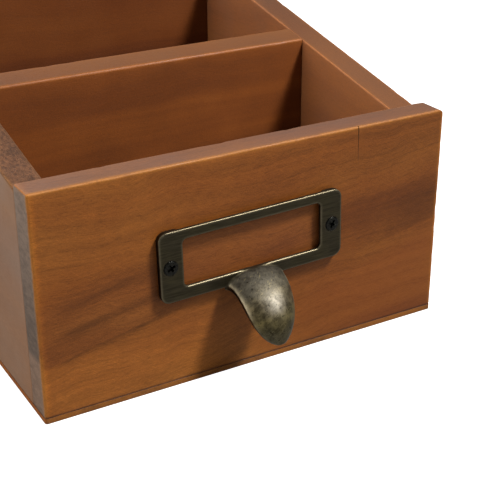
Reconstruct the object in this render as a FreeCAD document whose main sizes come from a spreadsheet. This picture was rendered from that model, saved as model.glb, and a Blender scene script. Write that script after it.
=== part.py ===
import FreeCAD, Part
import math
import os

import Sketcher

# Desk organizer: an open wooden tray with two compartments, whose sides climb towards the back, with a cast
# label holder and finger pull screwed to its front board.
#
# Frame: X runs along the front board, Y from the front (-Y) to the back (+Y), Z up. The origin is on the
# underside, at the middle of the front board's width and of the tray's depth. Lengths are millimetres.

doc = FreeCAD.newDocument("desk_organizer")

# --- Driving dimensions ------------------------------------------------------------------------------------

DIMENSIONS = [
    # carcass
    ("front_width", 152.0, "length of the front board"),
    ("front_height", 78.0, "top of the front board above the table"),
    ("front_thickness", 10.5, "thickness of the front board"),
    ("tray_depth", 156.0, "front face of the front board to the rear face of the back board"),
    ("side_thickness", 10.5, "thickness of the side boards"),
    ("side_top_front", 75.8, "top of the sides where they meet the front board"),
    ("side_top_rear", 105.6, "top of the sides at the rear"),
    ("front_overhang", 2.8, "how far the front board runs past the right side"),
    ("divider_distance", 69.8, "front face of the front board to the front face of the divider"),
    ("divider_thickness", 10.0, "thickness of the divider"),
    ("divider_proud", 0.5, "how far the divider stands above the side boards"),
    ("back_thickness", 10.0, "thickness of the back board"),
    ("sheet_thickness", 2.0, "thickness of the bottom sheet"),
    ("edge_round", 0.8, "radius on the handled edges of the boards"),
    ("end_round", 2.2, "radius on the right end of the front board"),
    # wooden dowels and brads
    ("dowel_diameter", 6.0, "blind dowels between the front board and the sides"),
    ("dowel_in_front", 6.0, "dowel length inside the front board"),
    ("dowel_in_side", 14.0, "dowel length inside the side board"),
    ("dowel_low", 20.0, "height of the lower dowels"),
    ("dowel_high", 58.0, "height of the upper dowels"),
    ("brad_diameter", 1.4, "shank of the brads"),
    ("brad_head", 2.4, "head of the brads"),
    ("brad_head_depth", 0.5, "thickness of a brad's head"),
    ("brad_length", 25.0, "brads through the side boards"),
    ("sheet_brad_length", 12.0, "brads through the bottom sheet"),
    ("bore_play", 0.1, "how much wider a bore is than what sits in it"),
    # label holder and finger pull
    ("holder_width", 68.4, "width of the label holder"),
    ("holder_height", 24.6, "height of the label holder"),
    ("holder_thickness", 2.3, "thickness of the label holder"),
    ("holder_corner", 3.0, "radius of its outer corners"),
    ("holder_shift", 1.4, "how far it sits left of the board's middle"),
    ("holder_centre", 45.4, "height of its middle"),
    ("holder_tilt", 1.5, "degrees that it sits out of level, right end up"),
    ("window_width", 51.6, "width of its window"),
    ("window_height", 16.7, "height of its window"),
    ("window_rise", 0.5, "how far the window's middle is above the holder's"),
    ("window_corner", 1.6, "radius of the window's corners"),
    ("card_slot_depth", 0.8, "depth of the card slot behind the window"),
    ("card_slot_lap", 1.6, "how far the card slot reaches past the window"),
    ("screw_pitch", 60.7, "distance between the two screws"),
    ("screw_diameter", 2.4, "shank of the screws"),
    ("screw_head", 4.9, "head of the screws"),
    ("screw_length", 10.0, "length of the screws from the holder's face"),
    ("screw_point", 2.0, "length of a screw's point"),
    ("screw_dome", 0.35, "how far a screw's head is domed above its rim"),
    ("recess_depth", 1.1, "depth of the cross recess in a screw's head"),
    ("recess_slot", 0.6, "width of the arms of the cross recess"),
    ("tongue_width", 20.4, "width of the finger pull where it leaves the holder"),
    ("tongue_tip_width", 16.8, "width that it tapers towards before its rounded tip"),
    ("tongue_reach", 16.6, "how far it stands out from the holder's face"),
    ("tongue_drop", 21.6, "how far it curls down"),
    ("tongue_crown", 3.8, "how much its middle stands above its edges"),
    ("tongue_thickness", 2.4, "thickness of its wall"),
    ("tongue_lap", 1.0, "how far its root runs into the lower rail"),
]

sheet = doc.addObject("Spreadsheet::Sheet", "Dims")
for row, (alias, value, meaning) in enumerate(DIMENSIONS, start=1):
    sheet.set(f"A{row}", alias)
    sheet.set(f"B{row}", str(value))
    sheet.set(f"C{row}", meaning)
    sheet.setAlias(f"B{row}", alias)
doc.recompute()


class Size:
    """A size with its number and the sheet expression that drives it, so that both stay in step."""

    def __init__(self, value, text):
        self.value = value
        self.text = text

    @staticmethod
    def of(other):
        return other if isinstance(other, Size) else Size(float(other), repr(float(other)))

    def __add__(self, other):
        other = Size.of(other)
        return Size(self.value + other.value, f"({self.text} + {other.text})")

    def __sub__(self, other):
        other = Size.of(other)
        return Size(self.value - other.value, f"({self.text} - {other.text})")

    def __mul__(self, other):
        other = Size.of(other)
        return Size(self.value * other.value, f"({self.text} * {other.text})")

    def __truediv__(self, other):
        other = Size.of(other)
        return Size(self.value / other.value, f"({self.text} / {other.text})")

    def __neg__(self):
        return Size(-self.value, f"(0 - {self.text})")


class Dims:
    """The sheet's cells by name, as sizes."""

    def __getattr__(self, alias):
        return Size(float(sheet.get(alias)), f"Dims.{alias}")


dims = Dims()
ZERO = Size.of(0)

# --- Sizes worked out from the driving ones ----------------------------------------------------------------

left_face = -(dims.front_width / 2)                        # outer face of the left side
front_face = -(dims.tray_depth / 2)
side_length = dims.tray_depth - dims.front_thickness
right_side_x = dims.front_width / 2 - dims.front_overhang - dims.side_thickness
inner_width = dims.front_width - dims.front_overhang - dims.side_thickness * 2
slope = (dims.side_top_rear - dims.side_top_front) / side_length
wall_height = dims.front_height - dims.sheet_thickness
brad_bore = dims.brad_diameter + dims.bore_play
dowel_bore = dims.dowel_diameter + dims.bore_play
dowel_heights = [dims.dowel_low - dims.sheet_thickness, dims.dowel_high - dims.sheet_thickness]

# Brads in the ends of the cross boards: heights above the bottom sheet.
divider_brad_heights = [dims.sheet_thickness + up for up in (18, 58)]
back_brad_heights = [dims.sheet_thickness + up for up in (16, 48, 80)]

# Brads through the bottom sheet: where they lie along a board, as shares of its length.
SHEET_BRAD_SHARES = (0.2, 0.5, 0.8)
SHEET_BRAD_SIDE_SHARES = (0.15, 0.5, 0.85)

# The head of a screw: how far out the shoulder of its dome lies and how high, and how far the recess reaches.
SHOULDER_OUT = 0.6
SHOULDER_UP = 0.8
RECESS_REACH = 0.62

# The finger pull is a loft through sections along a quarter turn, and stops just short of a point.
TONGUE_SECTIONS = 13
TONGUE_END = 0.985
TONGUE_INNER_WIDTH = 0.86                                  # inner wall, as a share of the outer one
TONGUE_TIP_WALL = 0.8                                      # wall at the tip, as a share of its half width

TOLERANCE = 0.01


def side_top(distance):
    """Height of the side boards' tops above the table at a distance from the front face."""
    return dims.side_top_front + slope * (distance - dims.front_thickness)


# --- Helpers for bodies, sketches and features -------------------------------------------------------------


def new_body(name, x, y, z):
    """A body whose own corner stands at x, y, z."""
    body = doc.addObject("PartDesign::Body", name)
    body.Label = name
    for axis, size in zip("xyz", (x, y, z)):
        body.setExpression(f"Placement.Base.{axis}", size.text)
    return body


def new_sketch(body, name, role, lift):
    """An empty sketch on one of the body's origin planes, lifted along the plane's normal."""
    sketch = body.newObject("Sketcher::SketchObject", name)
    plane = next(item for item in body.Origin.OriginFeatures if item.Role == role)
    sketch.AttachmentSupport = [(plane, "")]
    sketch.MapMode = "FlatFace"
    sketch.setExpression("AttachmentOffset.Base.z", lift.text)
    return sketch


def pin(sketch, geometry, point, place):
    """Hold one point of a sketch at a place given by two sizes."""
    for kind, axis, size in zip(("DistanceX", "DistanceY"), (-2, -1), place):
        if size.value == 0:
            sketch.addConstraint(Sketcher.Constraint("PointOnObject", geometry, point, axis))
            continue
        index = sketch.addConstraint(Sketcher.Constraint(kind, -1, 1, geometry, point, size.value))
        sketch.setExpression(f"Constraints[{index}]", size.text)


def outline(body, name, role, corners, lift=ZERO):
    """A closed sketch of straight lines through the corners."""
    sketch = new_sketch(body, name, role, lift)
    points = [FreeCAD.Vector(across.value, up.value, 0) for across, up in corners]
    count = len(points)
    for index in range(count):
        sketch.addGeometry(Part.LineSegment(points[index], points[(index + 1) % count]), False)
    for index in range(count):
        sketch.addConstraint(Sketcher.Constraint("Coincident", index, 2, (index + 1) % count, 1))
        pin(sketch, index, 1, corners[index])
    return sketch


def rectangle(body, name, role, low, high, lift=ZERO):
    """A closed sketch of the rectangle between two corners."""
    corners = [low, (high[0], low[1]), high, (low[0], high[1])]
    return outline(body, name, role, corners, lift)


def circles(body, name, role, diameter, centres, lift=ZERO):
    """A sketch of equal circles."""
    sketch = new_sketch(body, name, role, lift)
    for across, up in centres:
        centre = FreeCAD.Vector(across.value, up.value, 0)
        circle = Part.Circle(centre, FreeCAD.Vector(0, 0, 1), diameter.value / 2)
        geometry = sketch.addGeometry(circle, False)
        index = sketch.addConstraint(Sketcher.Constraint("Diameter", geometry, diameter.value))
        sketch.setExpression(f"Constraints[{index}]", diameter.text)
        pin(sketch, geometry, 3, (across, up))
    return sketch


def pad(body, sketch, length, backwards=False):
    """Raise a sketch into a solid, along its plane's normal or backwards."""
    feature = body.newObject("PartDesign::Pad", sketch.Name + "_pad")
    feature.Profile = sketch
    feature.Reversed = backwards
    feature.setExpression("Length", length.text)
    doc.recompute()
    return feature


def pocket(body, sketch, depth, backwards=False):
    """Cut a sketch into the body, against its plane's normal or backwards, and make sure that it cuts."""
    before = body.Shape.Volume
    feature = body.newObject("PartDesign::Pocket", sketch.Name + "_pocket")
    feature.Profile = sketch
    feature.Reversed = backwards
    feature.setExpression("Length", depth.text)
    doc.recompute()
    if body.Shape.Volume > before - 1e-3:
        raise RuntimeError(f"{sketch.Name} cuts nothing")
    return feature


def round_edges(body, name, radius, chosen):
    """Round the edges whose two ends pass the test."""
    base = body.Tip
    names = []
    for number, edge in enumerate(base.Shape.Edges, start=1):
        ends = [vertex.Point for vertex in edge.Vertexes]
        if len(ends) == 2 and chosen(ends[0], ends[1]):
            names.append(f"Edge{number}")
    if not names:
        raise RuntimeError(f"{name} finds no edge")
    feature = body.newObject("PartDesign::Fillet", name)
    feature.Base = (base, names)
    feature.setExpression("Radius", radius.text)
    doc.recompute()
    return feature


def near(value, target):
    return abs(value - target) < 1e-3


# --- Boards ------------------------------------------------------------------------------------------------


def make_front_panel():
    """Front board: blind dowel bores in its rear face, pilot bores for the two holder screws in its front."""
    body = new_body("front_panel", left_face, front_face, dims.sheet_thickness)
    board = rectangle(body, "front_board", "XZ_Plane", (ZERO, ZERO), (dims.front_width, wall_height))
    pad(body, board, dims.front_thickness, backwards=True)

    width = dims.front_width.value
    height = wall_height.value
    thick = dims.front_thickness.value
    round_edges(body, "front_right_end", dims.end_round,
                lambda a, b: near(a.x, width) and near(b.x, width) and near(a.y, b.y))
    round_edges(body, "front_left_end", dims.edge_round,
                lambda a, b: near(a.x, 0) and near(b.x, 0) and near(a.y, 0) and near(b.y, 0))
    round_edges(body, "front_top_edges", dims.edge_round,
                lambda a, b: near(a.z, height) and near(b.z, height) and (a.x - b.x) ** 2 + (a.y - b.y) ** 2 > 0)

    left_axis = dims.side_thickness / 2
    right_axis = dims.front_width - dims.front_overhang - dims.side_thickness / 2
    bores = circles(body, "front_dowel_bores", "XZ_Plane", dowel_bore,
                    [(across, up) for across in (left_axis, right_axis) for up in dowel_heights],
                    lift=-dims.front_thickness)
    pocket(body, bores, dims.dowel_in_front, backwards=True)

    tilt = math.radians(dims.holder_tilt.value)
    across_step = dims.screw_pitch / 2 * Size(math.cos(tilt), "cos(Dims.holder_tilt)")
    up_step = dims.screw_pitch / 2 * Size(math.sin(tilt), "sin(Dims.holder_tilt)")
    middle = dims.front_width / 2 - dims.holder_shift
    centre_up = dims.holder_centre - dims.sheet_thickness
    pilots = circles(body, "front_screw_pilots", "XZ_Plane", dims.screw_diameter + dims.bore_play,
                     [(middle - across_step, centre_up - up_step), (middle + across_step, centre_up + up_step)])
    pocket(body, pilots, dims.screw_length - dims.holder_thickness + dims.bore_play)

    brads = circles(body, "front_sheet_brad_bores", "XY_Plane", brad_bore,
                    [(dims.front_width * share, dims.front_thickness / 2) for share in SHEET_BRAD_SHARES])
    pocket(body, brads, dims.sheet_brad_length - dims.sheet_thickness, backwards=True)
    return body


def make_side_panel(name, corner_x):
    """Side board: its top climbs from the front to the back. The dowels enter its front end, and the brads
    of the divider and of the back board pass through it."""
    body = new_body(name, corner_x, front_face + dims.front_thickness, dims.sheet_thickness)
    low_top = dims.side_top_front - dims.sheet_thickness
    high_top = dims.side_top_rear - dims.sheet_thickness
    board = outline(body, name + "_board", "YZ_Plane",
                    [(ZERO, ZERO), (side_length, ZERO), (side_length, high_top), (ZERO, low_top)])
    pad(body, board, dims.side_thickness)

    lowest = low_top.value - TOLERANCE
    round_edges(body, name + "_edges", dims.edge_round,
                lambda a, b: near(a.x, b.x) and min(a.z, b.z) > lowest)

    bores = circles(body, name + "_dowel_bores", "XZ_Plane", dowel_bore,
                    [(dims.side_thickness / 2, up) for up in dowel_heights])
    pocket(body, bores, dims.dowel_in_side)

    divider_axis = dims.divider_distance + dims.divider_thickness / 2 - dims.front_thickness
    back_axis = side_length - dims.back_thickness / 2
    centres = [(divider_axis, up - dims.sheet_thickness) for up in divider_brad_heights]
    centres += [(back_axis, up - dims.sheet_thickness) for up in back_brad_heights]
    brads = circles(body, name + "_brad_bores", "YZ_Plane", brad_bore, centres)
    pocket(body, brads, dims.side_thickness, backwards=True)

    sheet_brads = circles(body, name + "_sheet_brad_bores", "XY_Plane", brad_bore,
                          [(dims.side_thickness / 2, side_length * share) for share in SHEET_BRAD_SIDE_SHARES])
    pocket(body, sheet_brads, dims.sheet_brad_length - dims.sheet_thickness, backwards=True)
    return body


def make_cross_board(name, distance, thickness, proud, brad_heights, sheet_shares):
    """Divider or back board: it fits between the sides, its top cut to their slope, with brads in its ends."""
    body = new_body(name, left_face + dims.side_thickness, front_face + distance, dims.sheet_thickness)
    front_top = side_top(distance) + proud - dims.sheet_thickness
    rear_top = side_top(distance + thickness) + proud - dims.sheet_thickness
    board = outline(body, name + "_board", "YZ_Plane",
                    [(ZERO, ZERO), (thickness, ZERO), (thickness, rear_top), (ZERO, front_top)])
    pad(body, board, inner_width)

    lowest = front_top.value - TOLERANCE
    round_edges(body, name + "_edges", dims.edge_round,
                lambda a, b: near(a.y, b.y) and near(a.z, b.z) and min(a.z, b.z) > lowest)

    depth = dims.brad_length - dims.side_thickness
    centres = [(thickness / 2, up - dims.sheet_thickness) for up in brad_heights]
    left_bores = circles(body, name + "_left_bores", "YZ_Plane", brad_bore, centres)
    pocket(body, left_bores, depth, backwards=True)
    right_bores = circles(body, name + "_right_bores", "YZ_Plane", brad_bore, centres, lift=inner_width)
    pocket(body, right_bores, depth)

    sheet_brads = circles(body, name + "_sheet_brad_bores", "XY_Plane", brad_bore,
                          [(inner_width * share, thickness / 2) for share in sheet_shares])
    pocket(body, sheet_brads, dims.sheet_brad_length - dims.sheet_thickness, backwards=True)
    return body


def sheet_brad_rows():
    """Places of the brads under each board, as (board, [(x, y), ...]) measured from the sheet's own corner."""
    front_row = [(dims.front_width * share, dims.front_thickness / 2) for share in SHEET_BRAD_SHARES]
    side_ys = [dims.front_thickness + side_length * share for share in SHEET_BRAD_SIDE_SHARES]
    left_row = [(dims.side_thickness / 2, y) for y in side_ys]
    right_x = dims.front_width - dims.front_overhang - dims.side_thickness / 2
    right_row = [(right_x, y) for y in side_ys]
    inner_xs = [dims.side_thickness + inner_width * share for share in SHEET_BRAD_SHARES]
    divider_row = [(x, dims.divider_distance + dims.divider_thickness / 2) for x in inner_xs]
    back_row = [(x, dims.tray_depth - dims.back_thickness / 2) for x in inner_xs]
    return {"front": front_row, "left": left_row, "right": right_row, "divider": divider_row, "back": back_row}


def make_bottom_sheet():
    """Thin bottom sheet under all the boards, trimmed flush with them all round."""
    body = new_body("bottom_sheet", left_face, front_face, ZERO)
    tray_right = dims.front_width - dims.front_overhang
    corners = [(ZERO, ZERO), (dims.front_width, ZERO), (dims.front_width, dims.front_thickness),
               (tray_right, dims.front_thickness), (tray_right, dims.tray_depth), (ZERO, dims.tray_depth)]
    board = outline(body, "sheet_board", "XY_Plane", corners)
    pad(body, board, dims.sheet_thickness)

    width = dims.front_width.value
    round_edges(body, "sheet_right_end", dims.end_round,
                lambda a, b: near(a.x, width) and near(b.x, width) and near(a.y, b.y))
    round_edges(body, "sheet_left_end", dims.edge_round,
                lambda a, b: near(a.x, 0) and near(b.x, 0) and near(a.y, 0) and near(b.y, 0))

    centres = [centre for row in sheet_brad_rows().values() for centre in row]
    bores = circles(body, "sheet_brad_bores", "XY_Plane", brad_bore, centres)
    pocket(body, bores, dims.sheet_thickness, backwards=True)
    heads = circles(body, "sheet_brad_heads", "XY_Plane", dims.brad_head + dims.bore_play, centres)
    pocket(body, heads, dims.brad_head_depth, backwards=True)
    return body


# --- Dowels, brads and screws ------------------------------------------------------------------------------


def make_dowel(name, across, up):
    """Blind dowel, along Y, across the joint between the front board and a side."""
    dowel = doc.addObject("Part::Cylinder", name)
    dowel.Label = name
    length = dims.dowel_in_front + dims.dowel_in_side - dims.bore_play * 4
    dowel.setExpression("Radius", (dims.dowel_diameter / 2).text)
    dowel.setExpression("Height", length.text)
    dowel.Placement.Rotation = FreeCAD.Rotation(FreeCAD.Vector(1, 0, 0), -90)
    start = front_face + dims.front_thickness - dims.dowel_in_front + dims.bore_play * 2
    for axis, size in zip("xyz", (across, start, up)):
        dowel.setExpression(f"Placement.Base.{axis}", size.text)
    return dowel


def make_brads(name, length, head_at, direction, places):
    """A row of brads that share a node: each is a headed pin that starts at its place and runs one way."""
    shank = Part.makeCylinder(dims.brad_diameter.value / 2, length.value - dims.bore_play.value)
    head = Part.makeCylinder(dims.brad_head.value / 2, dims.brad_head_depth.value)
    brad = shank.fuse(head).removeSplitter()
    turn = FreeCAD.Rotation(FreeCAD.Vector(0, 0, 1), direction)
    pins = []
    for place in places:
        pin_shape = brad.copy()
        pin_shape.Placement = FreeCAD.Placement(place - head_at, turn)
        pins.append(pin_shape)
    node = doc.addObject("Part::Feature", name)
    node.Label = name
    node.Shape = Part.makeCompound(pins)
    node.Placement = FreeCAD.Placement(head_at, FreeCAD.Rotation())
    return node


def make_side_brads(name, left, distance, heights):
    """Brads that come through a side board, from its outer face, into the end of a cross board."""
    outer_x = left_face.value if left else right_side_x.value + dims.side_thickness.value
    direction = FreeCAD.Vector(1 if left else -1, 0, 0)
    y = (front_face + distance).value
    places = [FreeCAD.Vector(outer_x, y, up.value) for up in heights]
    return make_brads(name, dims.brad_length, places[0], direction, places)


def make_sheet_brads(name, row):
    """Brads that come up through the bottom sheet into the underside of one board."""
    corner = FreeCAD.Vector(left_face.value, front_face.value, 0)
    places = [corner + FreeCAD.Vector(x.value, y.value, 0) for x, y in row]
    return make_brads(name, dims.sheet_brad_length, places[0], FreeCAD.Vector(0, 0, 1), places)


def holder_placement(across=0.0, out=0.0):
    """Where something of the holder stands: the holder's own frame is X along it, Z up, -Y outwards, with
    its origin on the front board's face at the holder's middle."""
    centre = FreeCAD.Vector(-dims.holder_shift.value, front_face.value, dims.holder_centre.value)
    level = FreeCAD.Rotation(FreeCAD.Vector(0, -1, 0), dims.holder_tilt.value)
    holder = FreeCAD.Placement(centre, level)
    return holder.multiply(FreeCAD.Placement(FreeCAD.Vector(across, -out, 0), FreeCAD.Rotation()))


def make_screw(name, side):
    """Countersunk wood screw with a cross recess, turned about its own axis, which runs along Y."""
    body = doc.addObject("PartDesign::Body", name)
    body.Label = name
    head = dims.screw_head / 2
    shank = dims.screw_diameter / 2
    sink = head - shank
    dome = dims.screw_dome
    profile = outline(body, name + "_profile", "XY_Plane",
                      [(ZERO, -dome), (head * SHOULDER_OUT, -dome * SHOULDER_UP), (head, ZERO), (shank, sink),
                       (shank, dims.screw_length - dims.screw_point), (ZERO, dims.screw_length)])
    turned = body.newObject("PartDesign::Revolution", name + "_turned")
    turned.Profile = profile
    turned.ReferenceAxis = (profile, ["V_Axis"])
    turned.Angle = 360
    doc.recompute()
    arm = head * RECESS_REACH
    half_slot = dims.recess_slot / 2
    cross = [(arm, half_slot), (half_slot, half_slot), (half_slot, arm)]
    corners = []
    for sign_x, sign_y, order in ((1, 1, 1), (-1, 1, -1), (-1, -1, 1), (1, -1, -1)):
        corners += [(across * sign_x, up * sign_y) for across, up in cross[::order]]
    recess = outline(body, name + "_recess", "XZ_Plane", corners, lift=dome)
    pocket(body, recess, dims.recess_depth)
    body.Placement = holder_placement(side * dims.screw_pitch.value / 2, dims.holder_thickness.value)
    return body


# --- Label holder with its finger pull ---------------------------------------------------------------------


def make_holder_frame():
    """Flat frame of the label holder: window, card slot behind it, and two countersunk screw holes."""
    body = doc.addObject("PartDesign::Body", "holder_frame")
    half_width = dims.holder_width / 2
    half_height = dims.holder_height / 2
    plate = rectangle(body, "holder_plate", "XZ_Plane", (-half_width, -half_height), (half_width, half_height))
    pad(body, plate, dims.holder_thickness)
    round_edges(body, "holder_corners", dims.holder_corner,
                lambda a, b: near(a.x, b.x) and near(a.z, b.z))

    face = dims.holder_thickness
    half_window = dims.window_width / 2
    low = dims.window_rise - dims.window_height / 2
    high = dims.window_rise + dims.window_height / 2
    window = rectangle(body, "holder_window", "XZ_Plane", (-half_window, low), (half_window, high), lift=face)
    pocket(body, window, dims.holder_thickness)
    reach = half_window.value + TOLERANCE
    round_edges(body, "window_corners", dims.window_corner,
                lambda a, b: near(a.x, b.x) and near(a.z, b.z) and abs(a.x) < reach)

    slot_half = half_window + dims.card_slot_lap
    slot = rectangle(body, "card_slot", "XZ_Plane", (-slot_half, low - dims.card_slot_lap),
                     (slot_half, half_height))
    pocket(body, slot, dims.card_slot_depth, backwards=True)

    half_pitch = dims.screw_pitch / 2
    centres = [(-half_pitch, ZERO), (half_pitch, ZERO)]
    holes = circles(body, "holder_screw_holes", "XZ_Plane", dims.screw_diameter + dims.bore_play * 2,
                    centres, lift=face)
    pocket(body, holes, dims.holder_thickness)
    front_y = -face.value
    base = body.Tip
    names = []
    for number, edge in enumerate(base.Shape.Edges, start=1):
        bounds = edge.BoundBox
        in_face = near(bounds.YMin, front_y) and near(bounds.YMax, front_y)
        is_circle = len(edge.Vertexes) == 1
        if is_circle and in_face:
            names.append(f"Edge{number}")
    sink = body.newObject("PartDesign::Chamfer", "holder_countersinks")
    sink.Base = (base, names)
    depth = (dims.screw_head - dims.screw_diameter) / 2
    sink.setExpression("Size", depth.text)
    doc.recompute()
    return body


def make_tongue():
    """Finger pull: a crowned tongue that leaves the lower rail and curls down to a rounded tip."""
    lap = dims.tongue_lap.value
    root_out = dims.holder_thickness.value - lap
    reach = dims.tongue_reach.value + lap
    drop = dims.tongue_drop.value
    top = (dims.window_rise - dims.window_height / 2).value
    wall = dims.tongue_thickness.value
    sections = []
    for step in range(TONGUE_SECTIONS):
        along = TONGUE_END * step / (TONGUE_SECTIONS - 1)
        turn = along * math.pi / 2
        centre = FreeCAD.Vector(0, -(root_out + reach * math.sin(turn)), top - drop * (1 - math.cos(turn)))
        run = FreeCAD.Vector(0, -reach * math.cos(turn), -drop * math.sin(turn)).normalize()
        normal = FreeCAD.Vector(0, run.z, -run.y)
        full = dims.tongue_width.value + (dims.tongue_tip_width.value - dims.tongue_width.value) * along
        narrowing = math.sqrt(1 - along ** 4)
        half = full / 2 * narrowing
        inner_half = half * TONGUE_INNER_WIDTH
        crown = dims.tongue_crown.value * narrowing
        under = min(wall, half * TONGUE_TIP_WALL)

        def at(across, inwards):
            return centre + FreeCAD.Vector(across, 0, 0) - normal * inwards

        outer = Part.Arc(at(-half, crown), at(0, 0), at(half, crown)).toShape()
        right = Part.LineSegment(at(half, crown), at(inner_half, crown + under)).toShape()
        inner = Part.Arc(at(inner_half, crown + under), at(0, under), at(-inner_half, crown + under)).toShape()
        left = Part.LineSegment(at(-inner_half, crown + under), at(-half, crown)).toShape()
        sections.append(Part.Wire([outer, right, inner, left]))
    tongue = doc.addObject("Part::Feature", "finger_tongue")
    tongue.Shape = Part.makeLoft(sections, True, False)
    return tongue


def make_label_holder():
    """One casting: the frame of the label holder with its finger pull."""
    frame = make_holder_frame()
    tongue = make_tongue()
    casting = doc.addObject("Part::Fuse", "label_holder_pull")
    casting.Label = "label_holder_pull"
    casting.Base = frame
    casting.Tool = tongue
    doc.recompute()
    casting.Placement = holder_placement()
    return casting


# --- The assembly ------------------------------------------------------------------------------------------


def build_parts():
    """Every node of the organizer."""
    rear_distance = dims.tray_depth - dims.back_thickness
    parts = [
        make_front_panel(),
        make_side_panel("left_side_panel", left_face),
        make_side_panel("right_side_panel", right_side_x),
        make_cross_board("compartment_divider", dims.divider_distance, dims.divider_thickness,
                         dims.divider_proud, divider_brad_heights, SHEET_BRAD_SHARES),
        make_cross_board("back_panel", rear_distance, dims.back_thickness, ZERO,
                         back_brad_heights, SHEET_BRAD_SHARES),
        make_bottom_sheet(),
        make_label_holder(),
        make_screw("left_holder_screw", -1),
        make_screw("right_holder_screw", 1),
    ]
    left_axis = left_face + dims.side_thickness / 2
    right_axis = right_side_x + dims.side_thickness / 2
    for side, axis in (("left", left_axis), ("right", right_axis)):
        parts.append(make_dowel(f"front_{side}_lower_dowel", axis, dims.dowel_low))
        parts.append(make_dowel(f"front_{side}_upper_dowel", axis, dims.dowel_high))
    divider_axis = dims.divider_distance + dims.divider_thickness / 2
    back_axis = dims.tray_depth - dims.back_thickness / 2
    for side in ("left", "right"):
        is_left = side == "left"
        parts.append(make_side_brads(f"divider_{side}_brads", is_left, divider_axis, divider_brad_heights))
        parts.append(make_side_brads(f"back_{side}_brads", is_left, back_axis, back_brad_heights))
    for board, row in sheet_brad_rows().items():
        parts.append(make_sheet_brads(f"sheet_{board}_brads", row))
    doc.recompute()
    return parts


def check_document():
    """Stop if any feature failed or any node is not a sound solid."""
    for item in doc.Objects:
        if "Invalid" in item.State or "Error" in item.State:
            raise RuntimeError(f"{item.Name} failed: {item.State}")
    for part in parts:
        if part.Shape.isNull() or not part.Shape.isValid() or not part.Shape.Solids:
            raise RuntimeError(f"{part.Label} is not a valid solid")


parts = build_parts()
check_document()
os.makedirs("parts", exist_ok=True)
for part in parts:
    part.Shape.exportStep(f"parts/{part.Label}.step")
    box = part.Shape.BoundBox
    print(f"{part.Label}: {len(part.Shape.Solids)} solid(s), {part.Shape.Volume:.1f} mm3, "
          f"x {box.XMin:.1f}..{box.XMax:.1f}, y {box.YMin:.1f}..{box.YMax:.1f}, z {box.ZMin:.1f}..{box.ZMax:.1f}")
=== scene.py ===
import math

import bmesh
import bpy
from bpy.props import FloatProperty, FloatVectorProperty, IntProperty, PointerProperty
from mathutils import Matrix, Vector, noise


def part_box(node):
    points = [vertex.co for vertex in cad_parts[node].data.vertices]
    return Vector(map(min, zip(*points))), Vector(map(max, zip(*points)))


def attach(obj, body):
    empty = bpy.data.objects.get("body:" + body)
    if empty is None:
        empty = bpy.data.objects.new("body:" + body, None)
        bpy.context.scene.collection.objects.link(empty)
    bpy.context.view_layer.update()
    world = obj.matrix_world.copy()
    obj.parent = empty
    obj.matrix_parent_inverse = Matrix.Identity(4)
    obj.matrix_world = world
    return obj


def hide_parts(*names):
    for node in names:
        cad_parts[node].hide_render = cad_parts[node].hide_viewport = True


bl_info = {
    "name": "Desk Organizer",
    "version": (1, 0, 0),
    "blender": (4, 5, 0),
    "location": "View3D > Sidebar > Organizer",
    "description": "Builds the looks of a wooden desk organizer tray with a brass label holder",
    "category": "Object",
}

# Frame: X runs along the front board, -Y is the front, Z is up, and the origin is on the underside.
# Lengths are in metres.

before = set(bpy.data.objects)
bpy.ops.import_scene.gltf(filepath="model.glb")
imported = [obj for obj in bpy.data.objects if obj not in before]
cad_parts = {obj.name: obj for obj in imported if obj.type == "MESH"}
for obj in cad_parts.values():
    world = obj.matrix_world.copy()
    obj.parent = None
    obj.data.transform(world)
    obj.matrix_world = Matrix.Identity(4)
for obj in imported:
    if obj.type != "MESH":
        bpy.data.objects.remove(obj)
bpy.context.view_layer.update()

MM = 0.001
X_AXIS, Y_AXIS, Z_AXIS = Vector((1, 0, 0)), Vector((0, 1, 0)), Vector((0, 0, 1))


def middle_of(node):
    low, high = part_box(node)
    return (low + high) / 2


def top_near(node, y):
    """Height of a board's top where it is cut by the upright plane at y."""
    reach = 0.4 * MM
    return max(v.co.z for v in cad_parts[node].data.vertices if abs(v.co.y - y) < reach)


FRONT_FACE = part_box("front_panel")[0].y
LEFT_SCREW, RIGHT_SCREW = middle_of("left_holder_screw"), middle_of("right_holder_screw")
HOLDER_TILT = math.atan2(RIGHT_SCREW.z - LEFT_SCREW.z, RIGHT_SCREW.x - LEFT_SCREW.x)
HOLDER_MIDDLE = (LEFT_SCREW + RIGHT_SCREW) / 2
SCREW_PITCH = (RIGHT_SCREW - LEFT_SCREW).length
SIDE_LOW, SIDE_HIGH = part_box("left_side_panel")
# How far the tops of all boards but the front one rise for each metre towards the back.
CLIMB = (SIDE_HIGH.z - top_near("left_side_panel", SIDE_LOW.y)) / (SIDE_HIGH.y - SIDE_LOW.y)


# --- Sizes and colours ------------------------------------------------------------------------------------


def length(name, description, default):
    return FloatProperty(name=name, description=description, default=default, unit="LENGTH", precision=5)


def colour(name, description, default):
    return FloatVectorProperty(name=name, description=description, default=default, subtype="COLOR",
                               min=0.0, max=1.0)


class BoardSizes(bpy.types.PropertyGroup):
    arris: length("Handled arris", "Radius on the edges that hands touch", 0.8 * MM)
    end_arris: length("Front end arris", "Radius on the top and rear edges of the front board's right end",
                      2.2 * MM)
    seam_arris: length("Seam arris", "Radius on edges that meet another board", 0.35 * MM)
    sheet_arris: length("Sheet arris", "Radius on the edges of the bottom sheet", 0.4 * MM)
    cell: length("Mesh cell", "Spacing of the mesh on the boards", 1.9 * MM)
    wear_reach: length("Wear reach", "How far rubbed colour reaches from an edge", 0.62 * MM)
    nick_depth: length("Nick depth", "Depth of the nicks along the edges", 0.3 * MM)
    crack_length: length("Crack length", "Length of the drying crack in the front board", 14.0 * MM)


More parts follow.
